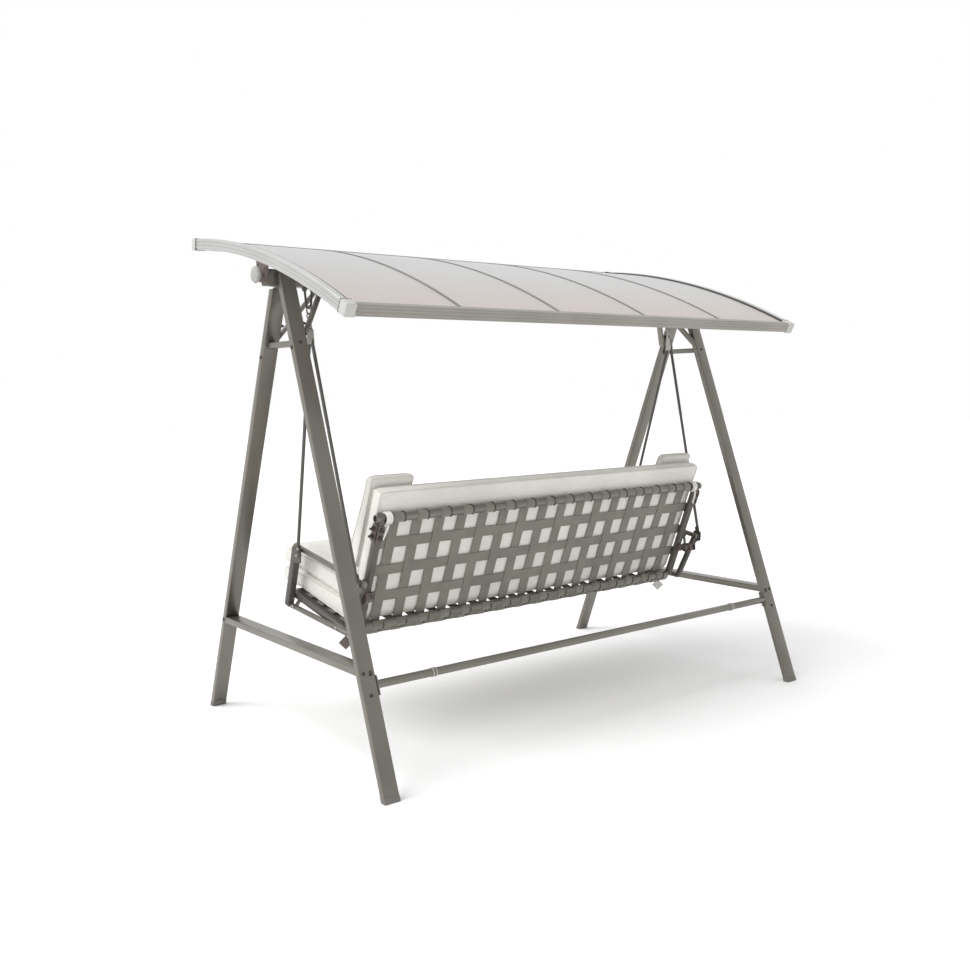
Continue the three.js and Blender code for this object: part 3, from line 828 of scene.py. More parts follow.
    def build_beam(self) -> None:
        """Builds the top beam, its end plugs and the saddles on the front legs."""
        z = (self.beam_low + self.beam_high) / 2
        bm = bmesh.new()
        add_bar(bm, Vector((-self.beam_half + 0.004, self.beam_y, z)), Vector((self.beam_half - 0.004, self.beam_y, z)),
                self.beam_depth, self.beam_high - self.beam_low, across=Vector((0, 1, 0)), corner=0.005)
        finish_piece("top_beam_tube", bm, Finish.FRAME, Body.STAND, Slot.FRAME, ["top_beam"])
        bm = bmesh.new()
        for side in Side:
            add_bar(bm, side.at(self.beam_half - 0.0038, self.beam_y, z), side.at(self.beam_half, self.beam_y, z),
                    self.beam_depth - 0.002, self.beam_high - self.beam_low - 0.002, across=Vector((0, 1, 0)),
                    corner=0.005)
        finish_piece("beam_end_plugs", bm, Finish.FOOT, Body.STAND, Slot.FOOT)
        bm = bmesh.new()
        for side in Side:
            y = self.front_axis(self.beam_low)
            outline = [
                side.at(self.middle - 0.016, y - 0.010, self.beam_low - 0.0057),
                side.at(self.middle + 0.016, y - 0.010, self.beam_low - 0.0057),
                side.at(self.middle + 0.016, y + 0.034, self.beam_low - 0.0057),
                side.at(self.middle - 0.016, y + 0.034, self.beam_low - 0.0057),
            ]
            add_plate(bm, outline, Vector((0, 0, 0.0052)), 0.003)
        finish_piece("beam_saddles", bm, Finish.BRACKET, Body.STAND, Slot.BRACKET)

    def build_stretcher(self) -> None:
        """Builds the three-part stretcher with its collars and bolted flanges."""
        y, z, joint = self.rear_axis(self.stretcher_z), self.stretcher_z, self.stretcher_joint
        bm = bmesh.new()
        add_rod(bm, Vector((-joint + 0.0003, y, z)), Vector((joint - 0.0003, y, z)), self.stretcher_radius, 36)
        finish_piece("stretcher_middle_tube", bm, Finish.FRAME, Body.STAND, Slot.FRAME, ["stretcher_middle"])
        for side in Side:
            end = self.inner - 0.0003
            bm = bmesh.new()
            add_rod(bm, side.at(joint + 0.001, y, z), side.at(end - 0.001, y, z), self.stretcher_radius, 36)
            finish_piece(f"stretcher_end_{side.tag}_tube", bm, Finish.FRAME, Body.STAND, Slot.FRAME,
                         [f"stretcher_end_{side.tag}"])
            bm = bmesh.new()
            for x0, x1 in ((joint, joint + 0.006), (joint + 0.012, joint + 0.018)):
                add_rod(bm, side.at(x0, y, z), side.at(x1, y, z), self.stretcher_radius + 0.002, 36)
            finish_piece(f"stretcher_collar_{side.tag}", bm, Finish.COLLAR, Body.STAND, Slot.FRAME)
            bm = bmesh.new()
            half_y, half_z = 0.014, 0.029
            outline = [side.at(end, y + dy, z + dz) for dy, dz in
                       ((-half_y, -half_z), (half_y, -half_z), (half_y, half_z), (-half_y, half_z))]
            slant = self.rear_slope
            for point in outline:
                point.y -= slant * (point.z - z)
            add_plate(bm, outline, side.at(-0.004, 0, 0), 0.006)
            for dz in (-0.022, 0.022):
                add_bolt(bm, side.at(end - 0.004, y - slant * dz, z + dz), side.at(-1, 0, 0), 0.005, 0.006)
            finish_piece(f"stretcher_flange_{side.tag}", bm, Finish.FRAME, Body.STAND, Slot.FRAME)


# ---------------------------------------------------------------------------
# Canopy
# ---------------------------------------------------------------------------
@dataclass
class Canopy:
    """The arched roof: ridged rails, corner caps, ribs, sheets and its tilting brackets."""

    half: float = 1.046
    front: Flat = (-0.520, 1.771)
    rear: Flat = (0.571, 1.458)
    rise: float = 0.055
    rail_width: float = 0.026
    rail_height: float = 0.040
    corner: float = 0.036
    rail_depth: float = 0.029
    panel_drop: float = 0.009
    panel_thick: float = 0.004
    rib_width: float = 0.010
    rib_drop: float = 0.006
    rib_height: float = 0.024
    rib_pitch: float = 0.412
    pivot_z: float = 1.590
    pivot_y: float = 0.030
    knob_radius: float = 0.027
    steps: int = 56

    def __post_init__(self) -> None:
        """Works out the arch's circle."""
        front, rear = Vector(self.front), Vector(self.rear)
        chord = rear - front
        self.radius = ((chord.length / 2) ** 2 + self.rise ** 2) / (2 * self.rise)
        normal = Vector((-chord.y, chord.x)).normalized()
        self.centre = (front + rear) / 2 + normal * (self.rise - self.radius)

    def angle(self, y: float) -> float:
        """The arch's angle at a given y, from +Y towards +Z."""
        return math.acos((y - self.centre.x) / self.radius)

    def on_arch(self, x: float, y: float, drop: float) -> Vector:
        """A point on the ray through the crest at y, some way below the crest."""
        turn = self.angle(y)
        reach = self.radius - drop
        return Vector((x, self.centre.x + reach * math.cos(turn), self.centre.y + reach * math.sin(turn)))

    def add_arched(self, bm: bmesh.types.BMesh, outline: Sequence[Flat], y0: float, y1: float, steps: int) -> None:
        """Adds an outline of (x, drop) points, carried along the arch from y0 to y1.

        Args:
            bm: the mesh to add to.
            outline: the section, as points across the canopy and below its crest.
            y0: where it starts.
            y1: where it ends.
            steps: faces along it.
        """
        made = bmesh.new()
        verts = [made.verts.new(self.on_arch(x, y0, drop)) for x, drop in outline]
        edges = [made.edges.new(pair) for pair in zip(verts, verts[1:] + verts[:1])]
        sweep = self.angle(y1) - self.angle(y0)
        bmesh.ops.spin(made, geom=verts + edges, cent=(0, self.centre.x, self.centre.y), axis=(1, 0, 0),
                       angle=sweep, steps=steps, use_merge=False)
        bmesh.ops.holes_fill(made, edges=made.edges[:], sides=0)
        pour(made, bm)

    def ridged(self, width: float, height: float, ridges: int = 3, groove: float = 0.0016) -> list[Flat]:
        """The rail's section: (0, 0) is its outer top corner, with grooves down the outer face."""
        points: list[Flat] = [(-width + 0.002, 0.002), (-0.006, 0.0), (-0.0015, 0.001)]
        pitch = (height - 0.006) / ridges
        for index in range(ridges):
            top = 0.003 + index * pitch
            points += [(0.0, top), (0.0, top + pitch * 0.7), (-groove, top + pitch * 0.78),
                       (-groove, top + pitch * 0.94)]
        points += [(-0.0015, height - 0.0008), (-0.006, height), (-width + 0.002, height), (-width, height - 0.003),
                   (-width, 0.004)]
        return points

    def build(self) -> None:
        """Builds every piece of the canopy."""
        for side in Side:
            self.build_side_rail(side)
            self.build_corners(side)
            self.build_bracket(side)
            self.build_knob(side)
        self.build_cross_rails()
        self.build_ribs()
        self.build_panels()

    def build_side_rail(self, side: Side) -> None:
        """Builds one ridged, arched side rail, with a dark strip along its inner top edge as painted shadow."""
        bm = bmesh.new()
        section = [(side.value * (self.half + x), drop) for x, drop in self.ridged(self.rail_width, self.rail_height)]
        self.add_arched(bm, section, self.front[0] + self.corner + 0.0003, self.rear[0] - self.corner - 0.0003,
                        self.steps)
        node = f"canopy_rail_{side.tag}"
        finish_piece(f"{node}_extrusion", bm, Finish.RAIL, Body.CANOPY, Slot.RAIL, [node], 28)
        bm = bmesh.new()
        inner = self.half - self.rail_width - 0.0004
        # A thin dark strip along the rail's inner top edge: painted shadow of the rail's shaded inner face.
        shade_outline = [(side.value * x, drop) for x, drop in
                ((inner - 0.0112, 0.0086), (inner - 0.0090, 0.0062), (inner, 0.0022), (inner, 0.0086))]
        self.add_arched(bm, shade_outline, self.front[0] + self.rail_depth + 0.008, self.rear[0] - self.rail_depth - 0.008,
                        self.steps)
        finish_piece(f"glazing_bead_{side.tag}", bm, Finish.SEAM_AND_SHADE, Body.CANOPY, Slot.RAIL)

    def build_corners(self, side: Side) -> None:
        """Builds the two moulded corner caps of one side."""
        low, high = self.half - self.corner, self.half + 0.001
        ends = (("front", self.front[0], self.front[0] + self.corner),
                ("rear", self.rear[0] - self.corner, self.rear[0]))
        for end, y0, y1 in ends:
            bm = bmesh.new()
            drops = (-0.001, self.rail_height + 0.001)
            section = [(side.value * x, drop) for x, drop in
                       ((low, drops[0]), (high, drops[0]), (high, drops[1]), (low, drops[1]))]
            self.add_arched(bm, section, y0, y1, 4)
            bmesh.ops.remove_doubles(bm, verts=bm.verts, dist=1e-6)
            edges = [e for e in bm.edges if len(e.link_faces) == 2 and e.calc_face_angle(0.0) > math.radians(40)]
            bmesh.ops.bevel(bm, geom=edges, offset=0.003, segments=3, profile=0.5, affect="EDGES", material=-1)
            node = f"canopy_corner_{end}_{side.tag}"
            finish_piece(f"{node}_cap", bm, Finish.CORNER, Body.CANOPY, Slot.CORNER, [node], 40)
            bm = bmesh.new()
            seam = y1 if end == "front" else y0
            band = [(side.value * x, drop) for x, drop in
                    ((low, -0.0014), (high + 0.0005, -0.0014), (high + 0.0005, drops[1] + 0.0004),
                     (low, drops[1] + 0.0004))]
            inward = 0.0016 if end == "front" else -0.0016
            self.add_arched(bm, band, seam - inward, seam, 1)
            finish_piece(f"{node}_seam", bm, Finish.SEAM_AND_SHADE, Body.CANOPY, Slot.CORNER)

    def build_bracket(self, side: Side) -> None:
        """Builds one tilting bracket plate with its two rail screws."""
        bm = bmesh.new()
        y, z = self.pivot_y, self.pivot_z
        inner, outer = 1.0353, self.half - 0.004
        under = self.rail_height + 0.0007
        outline = [
            side.at(inner, y - 0.024, z - 0.022),
            side.at(inner, y + 0.024, z - 0.022),
            side.at(inner, y + 0.040, self.on_arch(0, y + 0.040, under).z),
            side.at(inner, y - 0.040, self.on_arch(0, y - 0.040, under).z),
        ]
        add_plate(bm, outline, side.at(outer - inner, 0, 0), 0.006)
        outward = side.at(1, 0, 0)
        for dy in (-0.026, 0.026):
            add_bolt(bm, side.at(outer, y + dy, self.on_arch(0, y + dy, under).z - 0.012), outward, 0.004, 0.003)
        node = f"tilt_bracket_{side.tag}"
        finish_piece(f"{node}_plate", bm, Finish.BRACKET, Body.CANOPY, Slot.BRACKET, [node])

    def build_knob(self, side: Side) -> None:
        """Builds one clamp knob: a fluted grip on a short neck."""
        r = self.knob_radius
        neck, length = 0.014, 0.019
        profile = [(0, 0), (0.0065, 0), (0.0065, neck - 0.001), (r * 0.55, neck - 0.0005), (r * 0.86, neck + 0.001)]
        for step in range(7):
            turn = math.radians(-60 + step * 22)
            profile.append((r * 0.86 + r * 0.14 * math.cos(turn), neck + 0.0075 + 0.0065 * math.sin(turn)))
        profile += [(r * 0.72, neck + length - 0.005), (r * 0.45, neck + length - 0.0015), (0, neck + length - 0.0005)]
        bm = bmesh.new()
        start = side.at(self.half - 0.0037, self.pivot_y, self.pivot_z)
        place = facing(start, start + side.at(1, 0, 0), Vector((0, 0, 1)))
        add_lathe(bm, profile, place, 72)
        inverse = place.inverted()
        lobes = 8
        for vert in bm.verts:
            local = inverse @ vert.co
            reach = math.hypot(local.x, local.y)
            if reach > r * 0.6:
                turn = math.atan2(local.y, local.x)
                dent = 1 - 0.05 * (0.5 - 0.5 * math.cos(lobes * turn)) ** 2
                vert.co = place @ Vector((local.x * dent, local.y * dent, local.z))
        body = Body.KNOB_LEFT if side is Side.LEFT else Body.KNOB_RIGHT
        node = f"knob_{side.tag}"
        finish_piece(f"{node}_grip", bm, Finish.KNOB, body, Slot.KNOB, [node])

    def build_cross_rails(self) -> None:
        """Builds the straight front and rear rails, ridged on their outer faces."""
        half = self.half - self.corner - 0.0003
        for end, y0, y1 in (("front", self.front[0] + 0.001, self.front[0] + self.rail_depth),
                            ("rear", self.rear[0] - self.rail_depth, self.rear[0] - 0.001)):
            outer_y, inner_y = (y0, y1) if end == "front" else (y1, y0)
            crest = self.on_arch(0, outer_y, 0)
            far = self.on_arch(0, inner_y, 0)
            along = (far - crest).normalized()
            down = (self.on_arch(0, outer_y, 1.0) - crest).normalized()
            section = [crest - along * x + down * drop
                       for x, drop in self.ridged(y1 - y0, self.rail_height - 0.002, 3, 0.0008)]
            bm = bmesh.new()
            face = bm.faces.new([bm.verts.new((-half, p.y, p.z)) for p in section])
            thicken(bm, face, Vector((2 * half, 0, 0)))
            node = f"canopy_rail_{end}"
            finish_piece(f"{node}_extrusion", bm, Finish.CROSS_RAIL, Body.CANOPY, Slot.RAIL, [node], 28)

    def build_ribs(self) -> None:
        """Builds the four joining ribs, each a T with a narrow cap over the sheets."""
        y0, y1 = self.front[0] + self.rail_depth + 0.0003, self.rear[0] - self.rail_depth - 0.0003
        cap, web = self.rib_width * 0.62, self.rib_width / 2
        top, step, low = self.rib_drop, self.panel_drop - 0.0004, self.rib_drop + self.rib_height
        for index in range(4):
            x = (index - 1.5) * self.rib_pitch
            section = [(x - cap, top + 0.0008), (x - cap * 0.7, top), (x + cap * 0.7, top), (x + cap, top + 0.0008),
                       (x + cap, step), (x + web - 0.0005, step), (x + web - 0.0005, low), (x - web + 0.0005, low),
                       (x - web + 0.0005, step), (x - cap, step)]
            bm = bmesh.new()
            self.add_arched(bm, section, y0, y1, self.steps)
            node = f"canopy_rib_{index + 1}"
            finish_piece(f"{node}_bar", bm, Finish.RIB, Body.CANOPY, Slot.RIB, [node])

    def build_panels(self) -> None:
        """Builds the five twin-wall sheets."""
        y0, y1 = self.front[0] + self.rail_depth + 0.0003, self.rear[0] - self.rail_depth - 0.0003
        edge = self.half - self.corner - 0.0003
        ribs = [(k - 1.5) * self.rib_pitch for k in range(4)]
        stops = [-edge] + [x + s * (self.rib_width / 2 + 0.0003) for x in ribs for s in (-1, 1)] + [edge]
        top, low = self.panel_drop, self.panel_drop + self.panel_thick
        for index in range(5):
            x0, x1 = stops[2 * index], stops[2 * index + 1]
            columns = 8
            upper = [(x0 + (x1 - x0) * k / columns, top) for k in range(columns + 1)]
            lower = [(x, low) for x, _ in reversed(upper)]
            bm = bmesh.new()
            self.add_arched(bm, upper + lower, y0, y1, self.steps)
            node = f"canopy_panel_{index + 1}"
            finish_piece(f"{node}_sheet", bm, Finish.PANEL, Body.CANOPY, Slot.PANEL, [node])


# ---------------------------------------------------------------------------
# Straps
# ---------------------------------------------------------------------------
@dataclass
class Lattice:
    """Straps woven over and under each other between two round tubes.

    The lattice is made flat, with its long straps along Y from tube to tube and Z towards the sitter,
    and then put in place by a matrix.
    """

    length: float
    tube: float
    half: float
    place: Matrix
    cross_count: int
    body: Body
    name: str
    node: str
    width: float = 0.039
    pitch: float = 0.0944
    count: int = 16
    thickness: float = 0.0018
    sway: float = 0.0014
    level: float = 0.0016
    wrap: float = math.radians(265)
    band_drop: float = 0.0116
    band_gap: float = 0.003

    @property
    def long_places(self) -> list[float]:
        """X of the long straps."""
        return [(k - (self.count - 1) / 2) * self.pitch for k in range(self.count)]

    @property
    def cross_places(self) -> list[float]:
        """Y of the cross straps."""
        return [self.length * (k + 1) / (self.cross_count + 1) for k in range(self.cross_count)]

    def ripple(self, at: float, crossings: Sequence[float], parity: int) -> float:
        """How far a strap stands proud at a point, going over and under the crossings in turn."""
        height = 0.0
        for index, place in enumerate(crossings):
            gap = abs(at - place)
            reach = self.width * 0.5 + 0.016
            if gap < reach:
                lift = 1.0 if gap < self.width * 0.35 else 0.5 + 0.5 * math.cos(
                    math.pi * (gap - self.width * 0.35) / (reach - self.width * 0.35))
                height += lift * self.sway * (1 if (index + parity) % 2 == 0 else -1)
        return height

    def path(self, length: float, crossings: Sequence[float], parity: int, end_lap: bool) -> list[Flat]:
        """A strap's middle line as (along, out) points, from one tube to the other.

        Args:
            length: the run from one end to the other.
            crossings: where other straps cross it.
            parity: 0 or 1, for over or under at the first crossing.
            end_lap: True to wrap its ends round the tubes.

        Returns:
            The points.
        """
        reach = self.tube + self.level
        turns = 18
        points = []
        if end_lap:
            for step in range(turns, 0, -1):
                turn = self.wrap * step / turns
                points.append((-reach * math.sin(turn), reach * math.cos(turn)))
        steps = 72
        for step in range(steps + 1):
            at = length * step / steps
            points.append((at, reach + self.ripple(at, crossings, parity)))
        if end_lap:
            for step in range(1, turns + 1):
                turn = self.wrap * step / turns
                points.append((length + reach * math.sin(turn), reach * math.cos(turn)))
        return points

    def add_strap(self, bm: bmesh.types.BMesh, points: Sequence[Flat], to_space: Callable[[float, float, float], Vector]
                  ) -> None:
        """Adds one strap.

        Args:
            bm: the mesh to add to.
            points: its middle line, as (along, out).
            to_space: places (across, along, out).
        """
        made = bmesh.new()
        layer = made.loops.layers.uv.new("UVMap")
        mark = made.verts.layers.float.new("along")
        row = [made.verts.new(to_space(-self.width / 2, along, out)) for along, out in points]
        line = [made.edges.new(pair) for pair in zip(row, row[1:])]
        columns = 4
        shift = to_space(self.width / columns, 0, 0) - to_space(0, 0, 0)
        distance = [0.0]
        for (a0, b0), (a1, b1) in zip(points, points[1:]):
            distance.append(distance[-1] + math.hypot(a1 - a0, b1 - b0))
        for vert, far in zip(row, distance):
            vert[mark] = far
        edges = line
        for _ in range(columns):
            grown = bmesh.ops.extrude_edge_only(made, edges=edges)["geom"]
            moved = [g for g in grown if isinstance(g, bmesh.types.BMVert)]
            bmesh.ops.translate(made, vec=shift, verts=moved)
            edges = [g for g in grown if isinstance(g, bmesh.types.BMEdge)
                     and all(v in moved for v in g.verts)]
        origin = to_space(-self.width / 2, 0, 0)
        across = shift.normalized()
        for face in made.faces:
            for loop in face.loops:
                u = (loop.vert.co - origin).dot(across) / self.width
                loop[layer].uv = (u, loop.vert[mark])
        bmesh.ops.recalc_face_normals(made, faces=made.faces)
        bmesh.ops.solidify(made, geom=made.faces[:], thickness=self.thickness)
        pour(made, bm)

    def build(self) -> None:
        """Builds the long straps, the cross straps and the painted shadow rings as three pieces."""
        bm = bmesh.new()
        for index, x in enumerate(self.long_places):
            points = self.path(self.length, self.cross_places, index, True)
            self.add_strap(bm, points, lambda across, along, out, x=x: self.place @ Vector((x + across, along, out)))
        finish_piece(f"{self.name}_long_straps", bm, Finish.STRAP, self.body, Slot.STRAP, [self.node], 50)
        bm = bmesh.new()
        for index, y in enumerate(self.cross_places):
            crossings = [x + self.half for x in self.long_places]
            points = self.path(2 * self.half, crossings, index + 1, False)
            self.add_strap(bm, points, lambda across, along, out, y=y: self.place @ Vector(
                (along - self.half, y - across, out)))
        finish_piece(f"{self.name}_cross_straps", bm, Finish.STRAP, self.body, Slot.STRAP, [self.node], 50)
        self.build_shadow_rings()

    def build_shadow_bands(self) -> None:
        """Builds a dark band under the cross straps' ends along each side: painted shade at the seat's side edges,
        under the pads.
        """
        bm = bmesh.new()
        out = self.tube + self.level - self.band_drop
        inside = self.tube + self.band_gap
        points = [(inside + (self.length - 2 * inside) * k / 12, out) for k in range(13)]
        for side in Side:
            x = side.value * (self.half - self.width / 2)
            self.add_strap(bm, points, lambda across, along, out, x=x: self.place @ Vector((x + across, along, out)))
        # Dark bands as painted shade along the seat's sides, under the pads.
        finish_piece(f"{self.name}_side_bands", bm, Finish.STRAP_SHADE, self.body, Slot.STRAP, [], 50)

    def build_shadow_rings(self) -> None:
        """Builds a dark ring at one edge of each strap's wrap round a tube: painted shadow where the strap's edge meets
        the tube.
        """
        bm = bmesh.new()
        reach = self.tube + self.level + 0.0012
        for x in self.long_places:
            at = x - self.width / 2 - 0.0008
            for low_end in (True, False):
                path = []
                for step in range(22):
                    turn = (self.wrap - math.radians(40)) * step / 21
                    shift = -reach * math.sin(turn) if low_end else self.length + reach * math.sin(turn)
                    path.append(self.place @ Vector((at, shift, reach * math.cos(turn))))
                add_sweep(bm, path, 0.0021, segments=8)
        # Dark rings as painted shadow where each strap's edge meets its tube.
        finish_piece(f"{self.name}_strap_hems", bm, Finish.STRAP_SHADE, self.body, Slot.STRAP)


# ---------------------------------------------------------------------------
# Seat
# ---------------------------------------------------------------------------
@dataclass
class Seat:
    """Hangers, arm frames, seat tubes and seat webbing."""

    level: float = 0.425
    slope: float = -0.2
    tube_radius: float = 0.015
    front_y: float = -0.296
    rear_y: float = 0.104
    arm_outer: float = 0.834
    arm_width: float = 0.025
    hook: Point = (0.880, 0.038, 1.490)
    apex: Point = (0.880, 0.044, 1.392)
    rod_front: Point = (0.844, -0.164, 0.640)
    rod_rear: Point = (0.844, 0.244, 0.586)
    rod_radius: float = 0.006
    arm_front: Flat = (-0.212, 0.655)
    arm_rear: Flat = (0.252, 0.578)
    post_front: Flat = (-0.290, 0.428)
    post_head: Flat = (0.245, 0.579)
    post_rear: Flat = (0.148, 0.392)

    def z(self, y: float, drop: float = 0.0) -> float:
        """Height of the seat plane at y, less a drop."""
        return self.level + self.slope * y - drop

    @property
    def arm_x(self) -> float:
        """Middle of the arm frames along X."""
        return self.arm_outer - self.arm_width / 2

    @property
    def tube_x(self) -> float:
        """Axis of the seat's side tubes."""
        return self.arm_outer - self.arm_width - 0.012

    def build(self) -> None:
        """Builds every hard piece of the seat, and its webbing."""
        for side in Side:
            self.build_hanger(side)
            self.build_arm_frame(side)
            self.build_fasteners(side)
            self.build_recliner(side)
        self.build_tubes()
        self.build_webbing()

    def build_hanger(self, side: Side) -> None:
        """Builds one hanger: a ring, a swivel link, a joint plate and two rods."""
        x, y, z = self.hook
        ring, wire = 0.014, 0.0028
        ring_z = z + 0.004 + wire + 0.0004 - ring
        circle = [side.at(x, y + ring * math.sin(a), ring_z + ring * math.cos(a))
                  for a in [math.tau * k / 28 for k in range(28)]]
        bm = bmesh.new()
        add_sweep(bm, circle, wire, closed=True)
        eye_low = ring_z - ring
        add_sweep(bm, [side.at(x + 0.0075 * math.sin(a), y, eye_low - 0.006 + 0.0095 * math.cos(a))
                       for a in [math.tau * k / 20 for k in range(20)]], 0.0024, closed=True)
        add_rod(bm, side.at(x, y, eye_low - 0.014), side.at(x, y, eye_low - 0.036), 0.0062, 20)
        finish_piece(f"hanger_link_{side.tag}", bm, Finish.ZINC, Body.SEAT, Slot.HANGER, [f"hanger_{side.tag}"])

        ax, ay, az = self.apex
        bm = bmesh.new()
        add_rod(bm, side.at(x, y, eye_low - 0.034), side.at(ax, ay - 0.002, az + 0.030), 0.0085, 20)
        outline = [side.at(ax - 0.007, ay + dy, az + dz) for dy, dz in
                   ((-0.009, 0.030), (0.009, 0.030), (0.015, -0.022), (-0.017, -0.022))]
        add_plate(bm, outline, side.at(0.014, 0, 0), 0.006)
        finish_piece(f"hanger_joint_{side.tag}", bm, Finish.COLLAR, Body.SEAT, Slot.HANGER, [f"hanger_{side.tag}"])

        bm = bmesh.new()
        for dy, low in ((-0.006, self.rod_front), (0.006, self.rod_rear)):
            top, foot = side.at(ax, ay + dy, az), side.at(*low)
            add_rod(bm, top, foot, self.rod_radius, 24)
            run = (foot - top).normalized()
            start, end = foot - run * 0.030, foot + run * 0.014
            add_bar(bm, start + side.at(-0.0045, 0, 0), end + side.at(-0.0045, 0, 0), 0.0045, 0.020,
                    across=side.at(1, 0, 0), corner=0.001)
        finish_piece(f"hanger_rods_{side.tag}", bm, Finish.HANGER, Body.SEAT, Slot.HANGER, [f"hanger_{side.tag}"])

    def build_arm_frame(self, side: Side) -> None:
        """Builds one arm frame: upright, armrest, rear post, channel rail and seat side tube."""
        at = lambda p: side.at(self.arm_x, *p)
        node = [f"arm_frame_{side.tag}"]
        across = Vector((1, 0, 0))
        bm = bmesh.new()
        front_run = (at(self.arm_front) - at(self.post_front)).normalized()
        add_bar(bm, at(self.post_front), at(self.arm_front) - front_run * 0.004, self.arm_width, 0.030, across,
                0.003)
        rear_run = (at(self.post_head) - at(self.post_rear)).normalized()
        add_bar(bm, at(self.post_rear), at(self.post_head) - rear_run * 0.006, self.arm_width - 0.005, 0.018, across,
                0.0025)
        finish_piece(f"arm_posts_{side.tag}", bm, Finish.HANGER, Body.SEAT, Slot.FRAME, node)

        bm = bmesh.new()
        front, rear = at(self.arm_front), at(self.arm_rear)
        run = (rear - front).normalized()
        path = [front - run * 0.010 + Vector((0, 0, 0.0015)), front + run * 0.01]
        path += [front.lerp(rear, k / 8) for k in range(1, 8)]
        path += [rear - run * 0.004, rear + run * 0.004]
        add_sweep(bm, path, 0.010, segments=24)
        finish_piece(f"armrest_{side.tag}", bm, Finish.FRAME, Body.SEAT, Slot.FRAME, node)

        bm = bmesh.new()
        lift = Vector((0, 0, 0.002))
        foot, tail = at(self.post_front) + lift, at(self.post_rear) + lift
        add_rod(bm, foot, tail, 0.010, 28)
        for y in (-0.240, 0.070):
            share = (y - self.post_front[0]) / (self.post_rear[0] - self.post_front[0])
            low = foot.lerp(tail, share)
            high = side.at(self.tube_x, y, self.z(y, 0.016))
            add_bar(bm, low, high, 0.020, 0.006, Vector((0, 1, 0)), 0.001)
        finish_piece(f"seat_rail_{side.tag}", bm, Finish.FRAME, Body.SEAT, Slot.FRAME, node)

        bm = bmesh.new()
        add_rod(bm, side.at(self.tube_x, self.front_y, self.z(self.front_y, 0.016)),
                side.at(self.tube_x, self.rear_y, self.z(self.rear_y, 0.016)), 0.013, 32)
        finish_piece(f"seat_side_tube_{side.tag}", bm, Finish.HANGER, Body.SEAT, Slot.FRAME, node)

    def build_fasteners(self, side: Side) -> None:
        """Builds one arm frame's bolts and the plate that holds the front rod."""
        outward = side.at(1, 0, 0)
        bm = bmesh.new()
        for y in (-0.240, 0.070):
            add_bolt(bm, side.at(self.arm_x + 0.0095, y, 0.432 - 0.0822 * (y + 0.290)), outward, 0.005, 0.004)
        for low, step in ((self.rod_front, (0.006, 0.018)), (self.rod_rear, (-0.004, 0.014))):
            for k in (-1, 1):
                place = side.at(self.rod_front[0] + 0.003, low[1] + k * step[0], low[2] + k * step[1] * 0.7)
                add_bolt(bm, place, outward, 0.0048, 0.005)
        finish_piece(f"arm_bolts_{side.tag}", bm, Finish.ZINC, Body.SEAT, Slot.FRAME)

        bm = bmesh.new()
        y, z = self.rod_front[1], self.rod_front[2]
        outline = [side.at(self.arm_outer + 0.0003, y + dy, z + dz) for dy, dz in
                   ((-0.058, 0.014), (0.010, 0.016), (0.004, -0.040), (-0.072, -0.044))]
        add_plate(bm, outline, side.at(0.0028, 0, 0), 0.006)
        outline = [side.at(self.arm_outer + 0.0003, self.rod_rear[1] + dy, self.rod_rear[2] + dz) for dy, dz in
                   ((-0.020, 0.012), (0.020, 0.010), (0.018, -0.030), (-0.016, -0.034))]
        add_plate(bm, outline, side.at(0.0028, 0, 0), 0.006)
        finish_piece(f"rod_plates_{side.tag}", bm, Finish.HANGER, Body.SEAT, Slot.HANGER)

    def build_recliner(self, side: Side) -> None:
        """Builds the clamp block, its strap and its cross bolt, which hold the back on one side."""
        outward = side.at(1, 0, 0)
        y, z = 0.218, 0.528
        bm = bmesh.new()
        outline = [side.at(0.794, y + dy, z + dz) for dy, dz in
                   ((-0.024, 0.014), (0.018, 0.020), (0.026, -0.006), (0.006, -0.022), (-0.020, -0.018))]
        add_plate(bm, outline, side.at(0.016, 0, 0), 0.005)
        outline = [side.at(0.8295, y + dy, z + dz) for dy, dz in
                   ((-0.018, 0.016), (0.018, 0.020), (0.020, -0.014), (-0.016, -0.018))]
        add_plate(bm, outline, side.at(0.004, 0, 0), 0.005)
        finish_piece(f"recline_block_{side.tag}", bm, Finish.BRACKET, Body.SEAT, Slot.BRACKET)
        bm = bmesh.new()
        add_rod(bm, side.at(0.7925, y + 0.001, z), side.at(0.842, y + 0.001, z), 0.0055, 18)
        for x, length in ((0.8335, 0.007), (0.7935, -0.004)):
            add_rod(bm, side.at(x, y + 0.001, z), side.at(x + length, y + 0.001, z), 0.011, 6, 0.001)
        add_bolt(bm, side.at(0.8335, y - 0.010, z - 0.010), outward, 0.005, 0.005)
        finish_piece(f"recline_bolts_{side.tag}", bm, Finish.ZINC, Body.SEAT, Slot.BRACKET)
        bm = bmesh.new()
        add_bar(bm, side.at(0.8315, y + 0.004, z + 0.012), side.at(0.8315, self.arm_rear[0] + 0.004,
                                                                 self.arm_rear[1] - 0.002),
                0.004, 0.018, Vector((1, 0, 0)), 0.001)
        finish_piece(f"recline_strap_{side.tag}", bm, Finish.HANGER, Body.SEAT, Slot.BRACKET)

    def build_tubes(self) -> None:
        """Builds the seat's front and rear tubes."""
        half = self.tube_x - 0.0133
        for name, y in (("front", self.front_y), ("rear", self.rear_y)):
            bm = bmesh.new()
            z = self.z(y, 0.016)
            add_rod(bm, Vector((-half, y, z)), Vector((half, y, z)), self.tube_radius, 32)
            node = f"seat_tube_{name}"
            finish_piece(f"{node}_bar", bm, Finish.FRAME, Body.SEAT, Slot.FRAME, [node])

